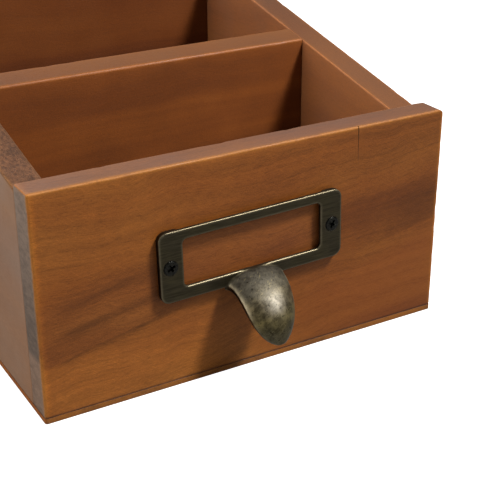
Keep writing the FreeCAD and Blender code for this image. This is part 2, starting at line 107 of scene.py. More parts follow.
class WoodColours(bpy.types.PropertyGroup):
    light: colour("Light wood", "Stained wood where the figure is light", (0.205, 0.062, 0.0070))
    mid: colour("Stained wood", "Stained wood in general", (0.158, 0.0425, 0.0045))
    dark: colour("Dark wood", "Stained wood in the dark bands", (0.112, 0.028, 0.0032))
    worn: colour("Worn edge", "Stain rubbed through at the edges", (0.30, 0.105, 0.012))
    end_grain: colour("End grain", "End grain, which takes the stain greyer", (0.118, 0.075, 0.040))
    # Painted sheen: a greyish reflection of the white surroundings, laid into the colour of tops and of
    # upright faces.
    painted_sheen: colour("Dulled stain", "Greyish bloom on tops and on the outer faces", (0.30, 0.198, 0.125))
    warm: colour("Warm foot", "Warmer stain under the dark band of the front board", (0.190, 0.043, 0.0050))
    brown_end: colour("Brown end grain", "End grain that has taken the stain brown", (0.105, 0.043, 0.015))
    low_stave: colour("Low stave", "End grain of the front board's lowest stave", (0.148, 0.085, 0.042))
    sawn_dark: colour("Sawn top, hollows", "Hollows of the rough sawn top", (0.053, 0.0177, 0.0066))
    sawn_light: colour("Sawn top, ridges", "Ridges of the rough sawn top", (0.144, 0.0535, 0.0195))
    grime: colour("Grime", "Dirt in the seam over the bottom sheet", (0.028, 0.011, 0.006))
    bare: colour("Bare wood", "Dowel wood where it is light", (0.62, 0.41, 0.22))
    bare_dark: colour("Bare wood, dark", "Dowel wood in its dark fibres", (0.42, 0.25, 0.12))


class HolderSizes(bpy.types.PropertyGroup):
    width: length("Width", "Width of the label holder", 68.4 * MM)
    height: length("Height", "Height of the label holder", 24.6 * MM)
    thickness: length("Thickness", "Thickness of the label holder", 2.3 * MM)
    corner: length("Corner radius", "Radius of the outer corners", 3.0 * MM)
    window_width: length("Window width", "Width of the label window", 51.6 * MM)
    window_height: length("Window height", "Height of the label window", 16.7 * MM)
    window_rise: length("Window rise", "How far the window's middle is above the holder's", 0.5 * MM)
    window_corner: length("Window corner", "Radius of the window's corners", 1.6 * MM)
    slot_depth: length("Card slot depth", "Depth of the card slot behind the window", 0.8 * MM)
    slot_lap: length("Card slot lap", "How far the card slot reaches past the window", 1.6 * MM)
    screw_head: length("Screw head", "Diameter of the screw heads", 4.9 * MM)
    screw_shank: length("Screw shank", "Diameter of the screw shanks", 2.4 * MM)
    tongue_width: length("Pull width", "Width of the finger pull at its root", 20.4 * MM)
    tongue_tip: length("Pull tip width", "Width that the finger pull tapers towards", 16.8 * MM)
    tongue_reach: length("Pull reach", "How far the finger pull stands out", 16.6 * MM)
    tongue_drop: length("Pull drop", "How far the finger pull curls down", 21.6 * MM)
    tongue_crown: length("Pull crown", "How much its middle stands above its edges", 3.8 * MM)
    tongue_wall: length("Pull wall", "Thickness of the finger pull", 2.4 * MM)
    voxel: length("Casting detail", "Size of the smallest detail of the casting", 0.26 * MM)
    smoothing: IntProperty(name="Smoothing", description="Rounds of smoothing on the casting", default=2,
                           min=0)


class MetalColours(bpy.types.PropertyGroup):
    patina: colour("Patina", "Dark olive patina on the flat of the holder", (0.040, 0.033, 0.020))
    patina_light: colour("Light patina", "Patina where it is thinner", (0.046, 0.038, 0.021))
    # Painted shade: nearly black colour for the casting's walls and underside and the ring round each screw
    # head, partly dark patina.
    rim: colour("Rim patina", "Nearly black patina on the rims and around the screws", (0.012, 0.010, 0.007))
    brass: colour("Rubbed brass", "Brass where the patina is rubbed away", (0.37, 0.31, 0.20))
    # Painted highlight: brighter brass laid on the pull where the right softbox's reflection falls.
    highlight_pewter: colour("Handled brass", "Brass that fingers keep bright on the pull", (0.285, 0.255, 0.20))
    scratch: colour("Scratches", "Bright brass in the scratches of the pull", (0.34, 0.27, 0.13))
    screw: colour("Screw steel", "Blackened steel of the holder's screws", (0.014, 0.0135, 0.011))
    brad: colour("Brad steel", "Dulled steel of the brads", (0.20, 0.18, 0.15))
    rust: colour("Stains", "Brown stains on the steel", (0.11, 0.07, 0.045))


class StageSettings(bpy.types.PropertyGroup):
    floor: colour("Floor", "Colour of the floor", (0.26, 0.26, 0.26))
    eye: FloatVectorProperty(name="Camera place", description="Where the camera stands",
                             default=(-0.1750, -0.3723, 0.2051), subtype="TRANSLATION", unit="LENGTH")
    sight: FloatVectorProperty(name="Camera direction", description="Where the camera looks",
                               default=(0.4583, 0.7784, -0.4290), subtype="DIRECTION")
    lens: FloatProperty(name="Lens", description="Focal length in millimetres", default=83.2)
    sky: FloatProperty(name="Surroundings", description="Brightness of the white surroundings", default=0.13)
    glow: FloatProperty(name="Floor glow", description="Light that the floor seems to give off", default=1.0)
    key_power: FloatProperty(name="Key light", description="Its power in watts", default=25.5)
    right_power: FloatProperty(name="Right light", description="Its power in watts", default=1.8)
    left_power: FloatProperty(name="Left light", description="Its power in watts", default=15.0)
    back_power: FloatProperty(name="Back light", description="Its power in watts", default=8.0)
    key_size: length("Key light size", "Width of the key light", 0.22)
    right_size: length("Right light size", "Width of the right light", 0.42)
    left_size: length("Left light size", "Width of the left light", 1.0)
    back_size: length("Back light size", "Width of the light behind", 1.2)


# --- Mesh helpers -----------------------------------------------------------------------------------------


def placed(bm, name):
    """A scene object at the origin that owns the finished mesh."""
    mesh = bpy.data.meshes.new(name)
    bm.normal_update()
    bm.to_mesh(mesh)
    bm.free()
    item = bpy.data.objects.new(name, mesh)
    bpy.context.scene.collection.objects.link(item)
    return item


def block(bm, low, high):
    """A box between two corners, added to a bmesh; returns its vertices."""
    made = bmesh.ops.create_cube(bm, size=1)["verts"]
    bmesh.ops.scale(bm, vec=Vector(high) - Vector(low), verts=made)
    bmesh.ops.translate(bm, vec=(Vector(high) + Vector(low)) / 2, verts=made)
    return made


def round_edges(bm, edges, radius, segments, clamp=False):
    bmesh.ops.bevel(bm, geom=edges, offset=radius, offset_type="OFFSET", affect="EDGES", segments=segments,
                    profile=0.5, material=-1, clamp_overlap=clamp)


def rounded_block(bm, low, high, axis, radius, segments):
    """A box whose edges along one axis are rounded."""
    made = block(bm, low, high)
    edges = {edge for vert in made for edge in vert.link_edges}
    along = [e for e in edges if abs((e.verts[0].co - e.verts[1].co).normalized().dot(axis)) > 0.99]
    round_edges(bm, along, radius, segments, clamp=True)


def cylinder(bm, start, direction, radius, depth, segments=24, tip=None):
    """A cylinder or cone from a start point along a direction."""
    made = bmesh.ops.create_cone(bm, cap_ends=True, segments=segments, radius1=radius,
                                 radius2=radius if tip is None else tip, depth=depth)["verts"]
    turn = Z_AXIS.rotation_difference(direction).to_matrix()
    bmesh.ops.rotate(bm, verts=made, cent=(0, 0, 0), matrix=turn)
    bmesh.ops.translate(bm, verts=made, vec=Vector(start) + direction.normalized() * depth / 2)
    return made


def opened(item):
    """A bmesh that holds an object's mesh."""
    bm = bmesh.new()
    bm.from_mesh(item.data)
    return bm


def put_back(item, bm):
    """Makes a bmesh the mesh of its object."""
    bm.to_mesh(item.data)
    bm.free()


def bake_modifiers(item):
    """Replaces an object's mesh by what its modifiers make of it."""
    graph = bpy.context.evaluated_depsgraph_get()
    graph.update()
    made = bpy.data.meshes.new_from_object(item.evaluated_get(graph))
    item.modifiers.clear()
    old = item.data
    item.data = made
    bpy.data.meshes.remove(old)


def cut(item, cutter_bm):
    """Cuts the shapes in a bmesh out of an object."""
    cutter = placed(cutter_bm, item.name + "_cutter")
    modifier = item.modifiers.new("Cut", "BOOLEAN")
    modifier.operation = "DIFFERENCE"
    modifier.solver = "EXACT"
    modifier.object = cutter
    bake_modifiers(item)
    bpy.data.objects.remove(cutter)


def soften_edges(item, width, segments, angle):
    """Bevels the edges that are sharper than an angle in degrees."""
    bevel = item.modifiers.new("Soft edges", "BEVEL")
    bevel.width = width
    bevel.segments = segments
    bevel.limit_method = "ANGLE"
    bevel.angle_limit = math.radians(angle)
    bake_modifiers(item)


def add_mesh_line(bm, point, normal):
    """Splits the faces of a mesh where a plane crosses them."""
    bmesh.ops.bisect_plane(bm, geom=bm.verts[:] + bm.edges[:] + bm.faces[:], plane_co=point, plane_no=normal,
                           dist=1e-7)


def add_mesh_lines(bm, axis, places):
    """Splits the faces of a mesh at several places along an axis."""
    for place in places:
        point, normal = Vector(), Vector()
        point[axis], normal[axis] = place, 1
        add_mesh_line(bm, point, normal)


def limited(value):
    return max(0.0, min(1.0, value))


def segment_distance(point, start, end):
    run = end - start
    share = limited((point - start).dot(run) / run.length_squared)
    return (point - start - run * share).length


def shade_smooth(item, crease=math.radians(42)):
    item.data.polygons.foreach_set("use_smooth", [True] * len(item.data.polygons))
    item.data.set_sharp_from_angle(angle=crease)
    item.data.update()


def finish_piece(item, material, slot, *nodes):
    """Gives a piece its material, and lets it stand for its CAD nodes. Its slot is not used."""
    item.data.materials.clear()
    item.data.materials.append(material)
    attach(item, "root")
    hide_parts(*nodes)


# --- Materials --------------------------------------------------------------------------------------------

# The front board's own figure, in heights above the underside. Mineral streaks low on its left: the height
# where each would cross the middle of the board's width, how far it fades out below, and how dark it is.
STREAKS = ((0.0445, 0.0046, 0.42), (0.0535, 0.0050, 0.30), (0.0355, 0.0024, 0.62))
# Rise of the streaks and of the dark band for each metre to the right, and where the band is measured.
STREAK_SLOPE, BAND_SLOPE, BAND_END = 0.23, 0.20, 0.072
WINDOW_HEIGHT = 0.042
GOLDEN_TINT = (1.45, 1.60, 1.7)
GREYER_TINT = (0.94, 0.96, 1.12)
LOW_CORNER_TINT = (0.58, 0.52, 0.66)
SCREENED_TINT = (1.17, 1.23, 1.60)
RUBBED_RIM_TINT = (1.60, 1.52, 1.0)

# Brass down the finger pull: how far down it is, from 0 at the root to 1 at the tip, and its colour there.
# The root is darker patina; the bright band partway down and the dark band below it are painted reflection
# and painted shade of the curling pull.
PULL_PATINA_AND_SHADE = ((0.08, (0.066, 0.058, 0.043)), (0.26, (0.082, 0.070, 0.048)), (0.44, (0.135, 0.105, 0.056)),
              (0.60, (0.155, 0.122, 0.050)), (0.75, (0.074, 0.062, 0.034)), (0.95, (0.080, 0.070, 0.045)))


class Finish:
    """A material whose nodes are added one at a time."""

    def __init__(self, name):
        self.material = bpy.data.materials.new(name)
        self.material.use_nodes = True
        self.tree = self.material.node_tree
        self.shader = self.tree.nodes["Principled BSDF"]

    def node(self, kind, inputs=None, **settings):
        made = self.tree.nodes.new(kind)
        for key, value in settings.items():
            setattr(made, key, value)
        for key, value in (inputs or {}).items():
            self.feed(made.inputs[key], value)
        return made

    def feed(self, socket, value):
        if isinstance(value, bpy.types.NodeSocket):
            self.tree.links.new(value, socket)
        else:
            socket.default_value = value

    def maths(self, operation, *values, clamp=False):
        made = self.node("ShaderNodeMath", dict(enumerate(values)), operation=operation)
        made.use_clamp = clamp
        return made.outputs[0]

    def product(self, first, *others):
        for other in others:
            first = self.maths("MULTIPLY", first, other)
        return first

    def total(self, first, *others):
        for other in others:
            first = self.maths("ADD", first, other)
        return first

    def object_place(self):
        return self.node("ShaderNodeTexCoord").outputs["Object"]

    def turned(self, vector, turn, shift):
        inputs = {"Vector": vector, "Rotation": turn, "Location": shift}
        return self.node("ShaderNodeMapping", inputs).outputs["Vector"]

    def stretched(self, vector, scale):
        return self.node("ShaderNodeVectorMath", {0: vector, 1: scale}, operation="MULTIPLY").outputs[0]

    def split(self, vector):
        return self.node("ShaderNodeSeparateXYZ", {"Vector": vector}).outputs

    def joined(self, x, y, z):
        return self.node("ShaderNodeCombineXYZ", {"X": x, "Y": y, "Z": z}).outputs[0]

    def noise(self, vector, scale, detail=2.0, roughness=0.5, distortion=0.0):
        inputs = {"Vector": vector, "Scale": scale, "Detail": detail, "Roughness": roughness,
                  "Distortion": distortion}
        return self.node("ShaderNodeTexNoise", inputs).outputs["Fac"]

    def drawn_noise(self, vector, scales, detail, roughness=0.5, distortion=0.0):
        """Noise with its own scale along each axis."""
        return self.noise(self.stretched(vector, scales), 1.0, detail, roughness, distortion)

    def spread(self, value, low, high, to_low=0.0, to_high=1.0, smooth=True):
        """Maps low..high to to_low..to_high, clamped."""
        inputs = {"Value": value, "From Min": low, "From Max": high, "To Min": to_low, "To Max": to_high}
        kind = "SMOOTHSTEP" if smooth else "LINEAR"
        return self.node("ShaderNodeMapRange", inputs, interpolation_type=kind).outputs["Result"]

    def mark(self, name):
        """A number that the mesh holds at each of its points."""
        return self.node("ShaderNodeAttribute", attribute_name=name).outputs["Fac"]

    def ramp(self, factor, *stops):
        made = self.node("ShaderNodeValToRGB", {"Fac": factor})
        elements = made.color_ramp.elements
        while len(elements) < len(stops):
            elements.new(0.5)
        for element, (position, tone) in zip(elements, stops):
            element.position = position
            element.color = (*tone, 1.0)
        return made.outputs["Color"]

    def mix(self, factor, first, second, blend="MIX"):
        made = self.node("ShaderNodeMix", data_type="RGBA", blend_type=blend)
        self.feed(made.inputs[0], factor)
        for index, tone in ((6, first), (7, second)):
            self.feed(made.inputs[index], tone if isinstance(tone, bpy.types.NodeSocket) else (*tone, 1.0))
        return made.outputs[2]

    def shaded(self, tone, factor):
        """A colour made lighter or darker by a number."""
        parts = {"Red": factor, "Green": factor, "Blue": factor}
        return self.mix(1.0, tone, self.node("ShaderNodeCombineColor", parts).outputs[0], blend="MULTIPLY")

    def shaded_by(self, tone, value, low, high, at_low, at_high):
        """A colour shaded by at_low to at_high while a value runs from low to high."""
        return self.shaded(tone, self.spread(value, low, high, at_low, at_high))

    def tinted(self, tone, tint):
        return self.mix(1.0, tone, tint, blend="MULTIPLY")

    def bump(self, height, distance, strength=1.0, after=None):
        inputs = {"Height": height, "Distance": distance, "Strength": strength}
        if after is not None:
            inputs["Normal"] = after
        return self.node("ShaderNodeBump", inputs).outputs["Normal"]


def front_figure(f, tone, place, wander):
    """The front board's own figure, laid over its stained wood: mineral streaks over a golden foot at its
    left, a dark heartwood band that rises to its right end, a dark low right corner, the paler wood that the
    holder screens, and rubbed rims at both ends."""
    x, _, height = f.split(place)
    sway = f.product(wander, 0.25)
    slope = f.total(f.maths("SUBTRACT", height, f.product(x, STREAK_SLOPE)), sway)
    from_end = f.maths("SUBTRACT", x, BAND_END)
    climb = f.total(f.maths("SUBTRACT", height, f.product(from_end, BAND_SLOPE)), sway)

    thread = f.noise(f.joined(f.product(x, 55.0), 0.0, f.product(slope, 330.0)), 1.0, 3.0, 0.6)
    streaky = f.spread(thread, 0.40, 0.60, 0.50, 1.0)
    area = f.product(f.spread(x, -0.022, -0.046), f.spread(x, -0.075, -0.062))
    for foot, reach, depth in STREAKS:
        line = f.product(f.spread(slope, foot - reach, foot), f.spread(slope, foot + reach * 0.45, foot),
                         streaky, area)
        tone = f.shaded(tone, f.maths("SUBTRACT", 1.0, f.product(line, depth)))

    band = f.product(f.spread(climb, 0.0362, 0.0378), f.spread(climb, 0.058, 0.0425),
                     f.spread(x, 0.024, 0.066))
    tone = f.mix(f.product(band, 0.66), tone, f.shaded(tone, 0.62))
    tone = f.shaded_by(tone, x, 0.0, 0.075, 1.0, 0.83)

    golden = f.product(f.spread(slope, 0.0368, 0.0348), f.spread(x, 0.030, -0.030),
                       f.spread(height, 0.034, 0.006, 0.45, 0.8))
    greyer = f.product(f.spread(slope, 0.0350, 0.0370), f.spread(slope, 0.061, 0.053),
                       f.spread(x, -0.020, -0.035))
    low_corner = f.product(f.spread(height, 0.0095, 0.0030), f.spread(x, 0.010, 0.060))
    from_window = f.maths("ABSOLUTE", f.maths("SUBTRACT", height, WINDOW_HEIGHT))
    screened = f.product(f.spread(f.maths("ABSOLUTE", x), 0.030, 0.024), f.spread(from_window, 0.011, 0.008))
    rims = f.maths("MAXIMUM", f.product(f.spread(x, -0.0728, -0.0755), 0.55), f.spread(x, 0.0746, 0.0754))
    for where, tint in ((golden, GOLDEN_TINT), (greyer, GREYER_TINT), (low_corner, LOW_CORNER_TINT),
                        (screened, SCREENED_TINT), (rims, RUBBED_RIM_TINT)):
        tone = f.mix(where, tone, f.tinted(tone, tint))

    warm = f.product(f.spread(climb, 0.036, 0.028), f.spread(x, 0.0, 0.05))
    return f.mix(f.product(warm, 0.35), tone, bpy.context.scene.organizer_wood.warm)


def wood_finish(name, turn=0.0, shift=(0.0, 0.0, 0.0), lean=0.0, tint=(1.0, 1.0, 1.0), top=0.75, heart=0.5,
                contrast=1.0, bloom=0.0, grey_end=False, figured=False):
    """Stained wood. Turn lays the grain along the board, lean slopes the figure towards the board's foot,
    heart says how much of the board is dark heartwood, sheen how dull and grey its upright faces are made by
    painted sheen, a greyish painted reflection of the white surroundings, and top how far painted shade
    darkens its top. A grey end has one browner stave at its foot, and a figured board has the front board's
    own figure."""
    tones = bpy.context.scene.organizer_wood
    f = Finish(name)
    place = f.object_place()
    grain = f.turned(place, (0.0, 0.0, turn), shift)
    x, y, z = f.split(grain)
    height = f.split(place)[2]

    # The grain's own height, which leans, wanders and swirls.
    rise = f.product(x, lean, f.spread(height, 0.0, 0.075, 1.0, 0.05, smooth=False))
    wander = f.product(f.maths("SUBTRACT", f.noise(grain, 11.0, 2.0), 0.5), 0.022)
    swirl = f.product(f.maths("SUBTRACT", f.drawn_noise(grain, (60.0, 40.0, 40.0), 2.0), 0.5), 0.0045)
    lines = f.joined(x, y, f.total(f.maths("SUBTRACT", z, rise), f.total(wander, swirl)))

    bands = f.drawn_noise(lines, (4.5, 30.0, 40.0), 2.0, 0.45, 0.3)
    growth = f.drawn_noise(lines, (9.0, 170.0, 240.0), 2.0)
    streaks = f.drawn_noise(lines, (34.0, 800.0, 1050.0), 3.0, 0.65)
    pores = f.drawn_noise(lines, (240.0, 2500.0, 2900.0), 2.0, 0.7)
    cloud = f.noise(grain, 38.0, 3.0, 0.55)
    speck = f.noise(grain, 2100.0, 3.0, 0.75)
    scuffs = []
    for slant in (0.72, -0.50):
        slanted = f.joined(x, y, f.total(z, f.product(x, slant)))
        scuffs.append(f.drawn_noise(slanted, (260.0, 2100.0, 2500.0), 2.0, 0.6))

    low = 0.30 + 0.12 * heart
    tone = f.ramp(f.total(f.product(bands, 0.7), f.product(cloud, 0.3)),
                  (low, tones.dark), (low + 0.14, tones.mid), (0.66, tones.light))
    tone = f.shaded_by(tone, growth, 0.28, 0.7, 1.0 - 0.07 * contrast, 1.0 + 0.04 * contrast)
    tone = f.shaded_by(tone, streaks, 0.30, 0.55, 1.0 - 0.085 * contrast, 1.0 + 0.03 * contrast)
    tone = f.shaded_by(tone, pores, 0.30, 0.58, 1.0 - 0.105 * contrast, 1.0 + 0.05 * contrast)
    tone = f.shaded_by(tone, scuffs[0], 0.52, 0.70, 1.0, 1.0 + 0.11 * contrast)
    tone = f.shaded_by(tone, scuffs[1], 0.30, 0.46, 1.0 - 0.10 * contrast, 1.0)
    tone = f.shaded_by(tone, speck, 0.28, 0.72, 0.87, 1.12)
    if figured:
        tone = front_figure(f, tone, place, wander)

    # Painted sheen and painted shade by facing: tops, and upright faces as far as sheen says, take the
    # greyish painted reflection, and top then darkens the tops as painted shade.
    facing = f.split(f.node("ShaderNodeNewGeometry").outputs["Normal"])
    up = f.spread(facing[2], 0.80, 0.97)
    sheen_share = f.product(f.maths("MAXIMUM", f.product(up, 0.25), bloom), f.spread(cloud, 0.25, 0.7, 1.15, 0.8))
    tone = f.shaded_by(f.mix(sheen_share, tone, tones.painted_sheen), up, 0.0, 1.0, 1.0, top)

    is_end = f.spread(f.maths("ABSOLUTE", facing[1 if turn else 0]), 0.75, 0.95)
    rings = f.drawn_noise(grain, (90.0, 260.0, 620.0), 3.0, 0.6, 0.5)
    end_tone = tones.brown_end
    if grey_end:
        above_stave = f.spread(f.total(height, f.product(wander, 0.3)), 0.0200, 0.0225)
        greyed = f.shaded_by(tones.end_grain, height, 0.02, 0.078, 0.72, 1.22)
        end_tone = f.mix(above_stave, tones.low_stave, greyed)
    end_tone = f.shaded_by(end_tone, rings, 0.3, 0.7, 0.78, 1.16)
    tone = f.mix(is_end, tone, f.shaded_by(end_tone, speck, 0.3, 0.7, 0.82, 1.12))

    rough_top = f.mark("sawn")
    mottle = f.drawn_noise(grain, (700.0, 1100.0, 700.0), 3.0, 0.8)
    patchy = f.noise(grain, 170.0, 3.0, 0.6)
    fuzz = f.shaded_by(f.mix(f.spread(mottle, 0.32, 0.68), tones.sawn_dark, tones.sawn_light),
                       patchy, 0.3, 0.65, 0.66, 1.1)
    tone = f.mix(f.product(rough_top, 0.9), tone, fuzz)

    rub = f.noise(place, 160.0, 3.0, 0.65)
    rubbed = f.maths("MULTIPLY", f.mark("wear"), f.spread(rub, 0.28, 0.60, 0.30, 1.0), clamp=True)
    tone = f.mix(rubbed, tone, f.shaded_by(tones.worn, speck, 0.3, 0.7, 0.82, 1.12))
    grime = f.product(f.mark("grime"), f.spread(rub, 0.2, 0.7, 1.0, 0.6))
    tone = f.tinted(f.mix(grime, tone, tones.grime), tint)

    f.feed(f.shader.inputs["Base Color"], tone)
    gloss = f.total(f.spread(cloud, 0.3, 0.7, 0.42, 0.55), f.spread(pores, 0.3, 0.6, 0.08, 0.0),
                    f.product(rough_top, 0.25), f.product(is_end, 0.12))
    f.feed(f.shader.inputs["Roughness"], gloss)
    f.shader.inputs["IOR"].default_value = 1.45
    f.shader.inputs["Specular IOR Level"].default_value = 0.22

    fibre = f.total(f.product(pores, 0.6), f.product(streaks, 0.4))
    normal = f.bump(fibre, 0.10 * MM, 0.6)
    normal = f.bump(speck, 0.05 * MM, 0.6, normal)
    normal = f.bump(f.product(mottle, rough_top), 0.7 * MM, 1.0, normal)
    f.feed(f.shader.inputs["Normal"], normal)
    return f.material


def brass_finish(name):
    """Antique brass: dark olive patina, brushed on the flat frame, rubbed bright on the arrises, and greyer
    and mottled where fingers touch the pull. Its colour also holds painted light: nearly black painted shade
    on walls, undersides and round the screws, a painted highlight spot and lip highlights on the pull, and
    painted reflection and shade down the pull."""
    tones = bpy.context.scene.organizer_metal
    f = Finish(name)
    place = f.object_place()
    handled = f.mark("handled")

    brushed = f.drawn_noise(place, (150.0, 900.0, 3200.0), 2.0, 0.6)
    mottle = f.noise(place, 420.0, 4.0, 0.68)
    patches = f.noise(place, 130.0, 3.0, 0.6)
    pits = f.noise(place, 1100.0, 2.0, 0.6)

    flat = f.mix(f.spread(patches, 0.35, 0.7), tones.patina, tones.patina_light)
    # Painted shade: the rim mark turns walls, undersides and the rings round the screws nearly black.
    flat = f.mix(f.mark("rim"), f.shaded_by(flat, brushed, 0.3, 0.7, 0.75, 1.3), tones.rim)

    # Painted reflection and painted shade down the pull, over darker patina at its root.
    down = f.total(f.mark("tip"), f.spread(patches, 0.3, 0.7, -0.07, 0.07))
    # Painted highlight: the spot mixes in brighter brass where the right softbox's reflection falls.
    pull = f.mix(f.mark("rubbed_spot"), f.ramp(down, *PULL_PATINA_AND_SHADE), tones.highlight_pewter)
    pull = f.shaded_by(pull, mottle, 0.30, 0.66, 0.62, 1.30)
    tilted = f.turned(place, (0.0, 0.6, 0.0), (0.0, 0.0, 0.0))
    scratches = f.drawn_noise(tilted, (500.0, 900.0, 4200.0), 2.0, 0.6)
    pull = f.shaded_by(pull, scratches, 0.30, 0.44, 0.68, 1.0)
    pull = f.mix(f.spread(scratches, 0.60, 0.74, 0.0, 0.35), pull, tones.scratch)
    pull = f.shaded_by(pull, pits, 0.28, 0.42, 0.42, 1.0)

    rubbed = f.maths("MULTIPLY", f.mark("wear"), f.spread(mottle, 0.25, 0.55, 0.40, 0.9), clamp=True)
    # Painted shade: the pull's brass shows only where fingers touch it and it faces out or up.
    f.feed(f.shader.inputs["Base Color"], f.mix(rubbed, f.mix(handled, flat, pull), tones.brass))
    f.shader.inputs["Metallic"].default_value = 1.0
    root = f.product(handled, f.spread(down, 0.42, 0.20))
    gloss = f.total(f.spread(mottle, 0.3, 0.7, 0.38, 0.50), f.product(root, 0.20))
    gloss = f.maths("SUBTRACT", gloss, f.product(f.mark("rubbed_spot"), 0.03))
    gloss = f.maths("SUBTRACT", gloss, f.product(rubbed, 0.02))
    f.feed(f.shader.inputs["Roughness"], gloss)
    normal = f.bump(brushed, 0.02 * MM, 0.5)
    normal = f.bump(mottle, 0.06 * MM, 0.55, normal)
    normal = f.bump(pits, 0.03 * MM, 0.5, normal)
    f.feed(f.shader.inputs["Normal"], normal)
    return f.material


def steel_finish(name, tone, roughness, speckle, stain):
    """Plain steel with fine speckle and brown stains: blackened for the screws, dull for the brads."""
    f = Finish(name)
    place = f.object_place()
    fine = f.noise(place, 1600.0, 3.0, 0.65)
    broad = f.noise(place, 350.0, 2.0, 0.5)
    metal = f.shaded_by(tone, fine, 0.3, 0.7, 1.0 - speckle, 1.0 + speckle)
    metal = f.mix(f.spread(broad, 0.55, 0.75, 0.0, stain), metal, bpy.context.scene.organizer_metal.rust)
    f.feed(f.shader.inputs["Base Color"], metal)
    f.shader.inputs["Metallic"].default_value = 0.9
    f.feed(f.shader.inputs["Roughness"], f.spread(fine, 0.3, 0.7, roughness - 0.06, roughness + 0.08))
    f.feed(f.shader.inputs["Normal"], f.bump(fine, 0.03 * MM, 0.6))
    return f.material


def dowel_finish(name):
    """Unstained dowel wood with its grain along Y."""
    tones = bpy.context.scene.organizer_wood
    f = Finish(name)
    place = f.object_place()
    fibre = f.drawn_noise(place, (900.0, 60.0, 900.0), 3.0, 0.6)
    speck = f.noise(place, 900.0, 2.0, 0.6)
    tone = f.mix(f.spread(fibre, 0.3, 0.7), tones.bare_dark, tones.bare)
    f.feed(f.shader.inputs["Base Color"], f.shaded_by(tone, speck, 0.3, 0.7, 0.9, 1.06))
    f.feed(f.shader.inputs["Roughness"], f.spread(fibre, 0.3, 0.7, 0.62, 0.78))
    f.feed(f.shader.inputs["Normal"], f.bump(fibre, 0.08 * MM, 0.6))
    return f.material


def floor_finish(name):
    """Matt pale studio floor."""
    settings = bpy.context.scene.organizer_stage
    f = Finish(name)
    cloud = f.noise(f.object_place(), 3.0, 2.0)
    f.feed(f.shader.inputs["Base Color"], f.shaded_by(settings.floor, cloud, 0.2, 0.8, 0.985, 1.015))
    f.feed(f.shader.inputs["Roughness"], f.spread(cloud, 0.2, 0.8, 0.85, 0.92))
    f.shader.inputs["Emission Color"].default_value = (1.0, 1.0, 1.0, 1.0)
    seen = f.node("ShaderNodeLightPath").outputs["Is Camera Ray"]
    f.feed(f.shader.inputs["Emission Strength"], f.product(seen, settings.glow))
    return f.material


# --- Boards -----------------------------------------------------------------------------------------------


def board_arrises(low, high, front_top, rear_top):
    """The twelve edges of a board, by name: t and b for top and bottom, f and r for front and rear, l and g
    for left and right."""
    def corner(name):
        x = low.x if "l" in name else high.x
        y = low.y if "f" in name else high.y
        z = low.z if "b" in name else (front_top if "f" in name else rear_top)
        return Vector((x, y, z))
    pairs = {"tf": ("tfl", "tfg"), "tr": ("trl", "trg"), "tl": ("tfl", "trl"), "tg": ("tfg", "trg"),
             "bf": ("bfl", "bfg"), "br": ("brl", "brg"), "bl": ("bfl", "brl"), "bg": ("bfg", "brg"),
             "fl": ("bfl", "tfl"), "fg": ("bfg", "tfg"), "rl": ("brl", "trl"), "rg": ("brg", "trg")}
    return {name: (corner(a), corner(b)) for name, (a, b) in pairs.items()}


def slice_places(low, high, cell, rim):
    """Places of the mesh lines across a board: close together near its edges, then evenly spaced."""
    places = []
    for step in rim:
        places += [low + step, high - step]
    inner_low, inner_high = low + rim[-1], high - rim[-1]
    count = max(1, round((inner_high - inner_low) / cell))
    places += [inner_low + (inner_high - inner_low) * k / count for k in range(1, count)]
    return [p for p in places if low < p < high]


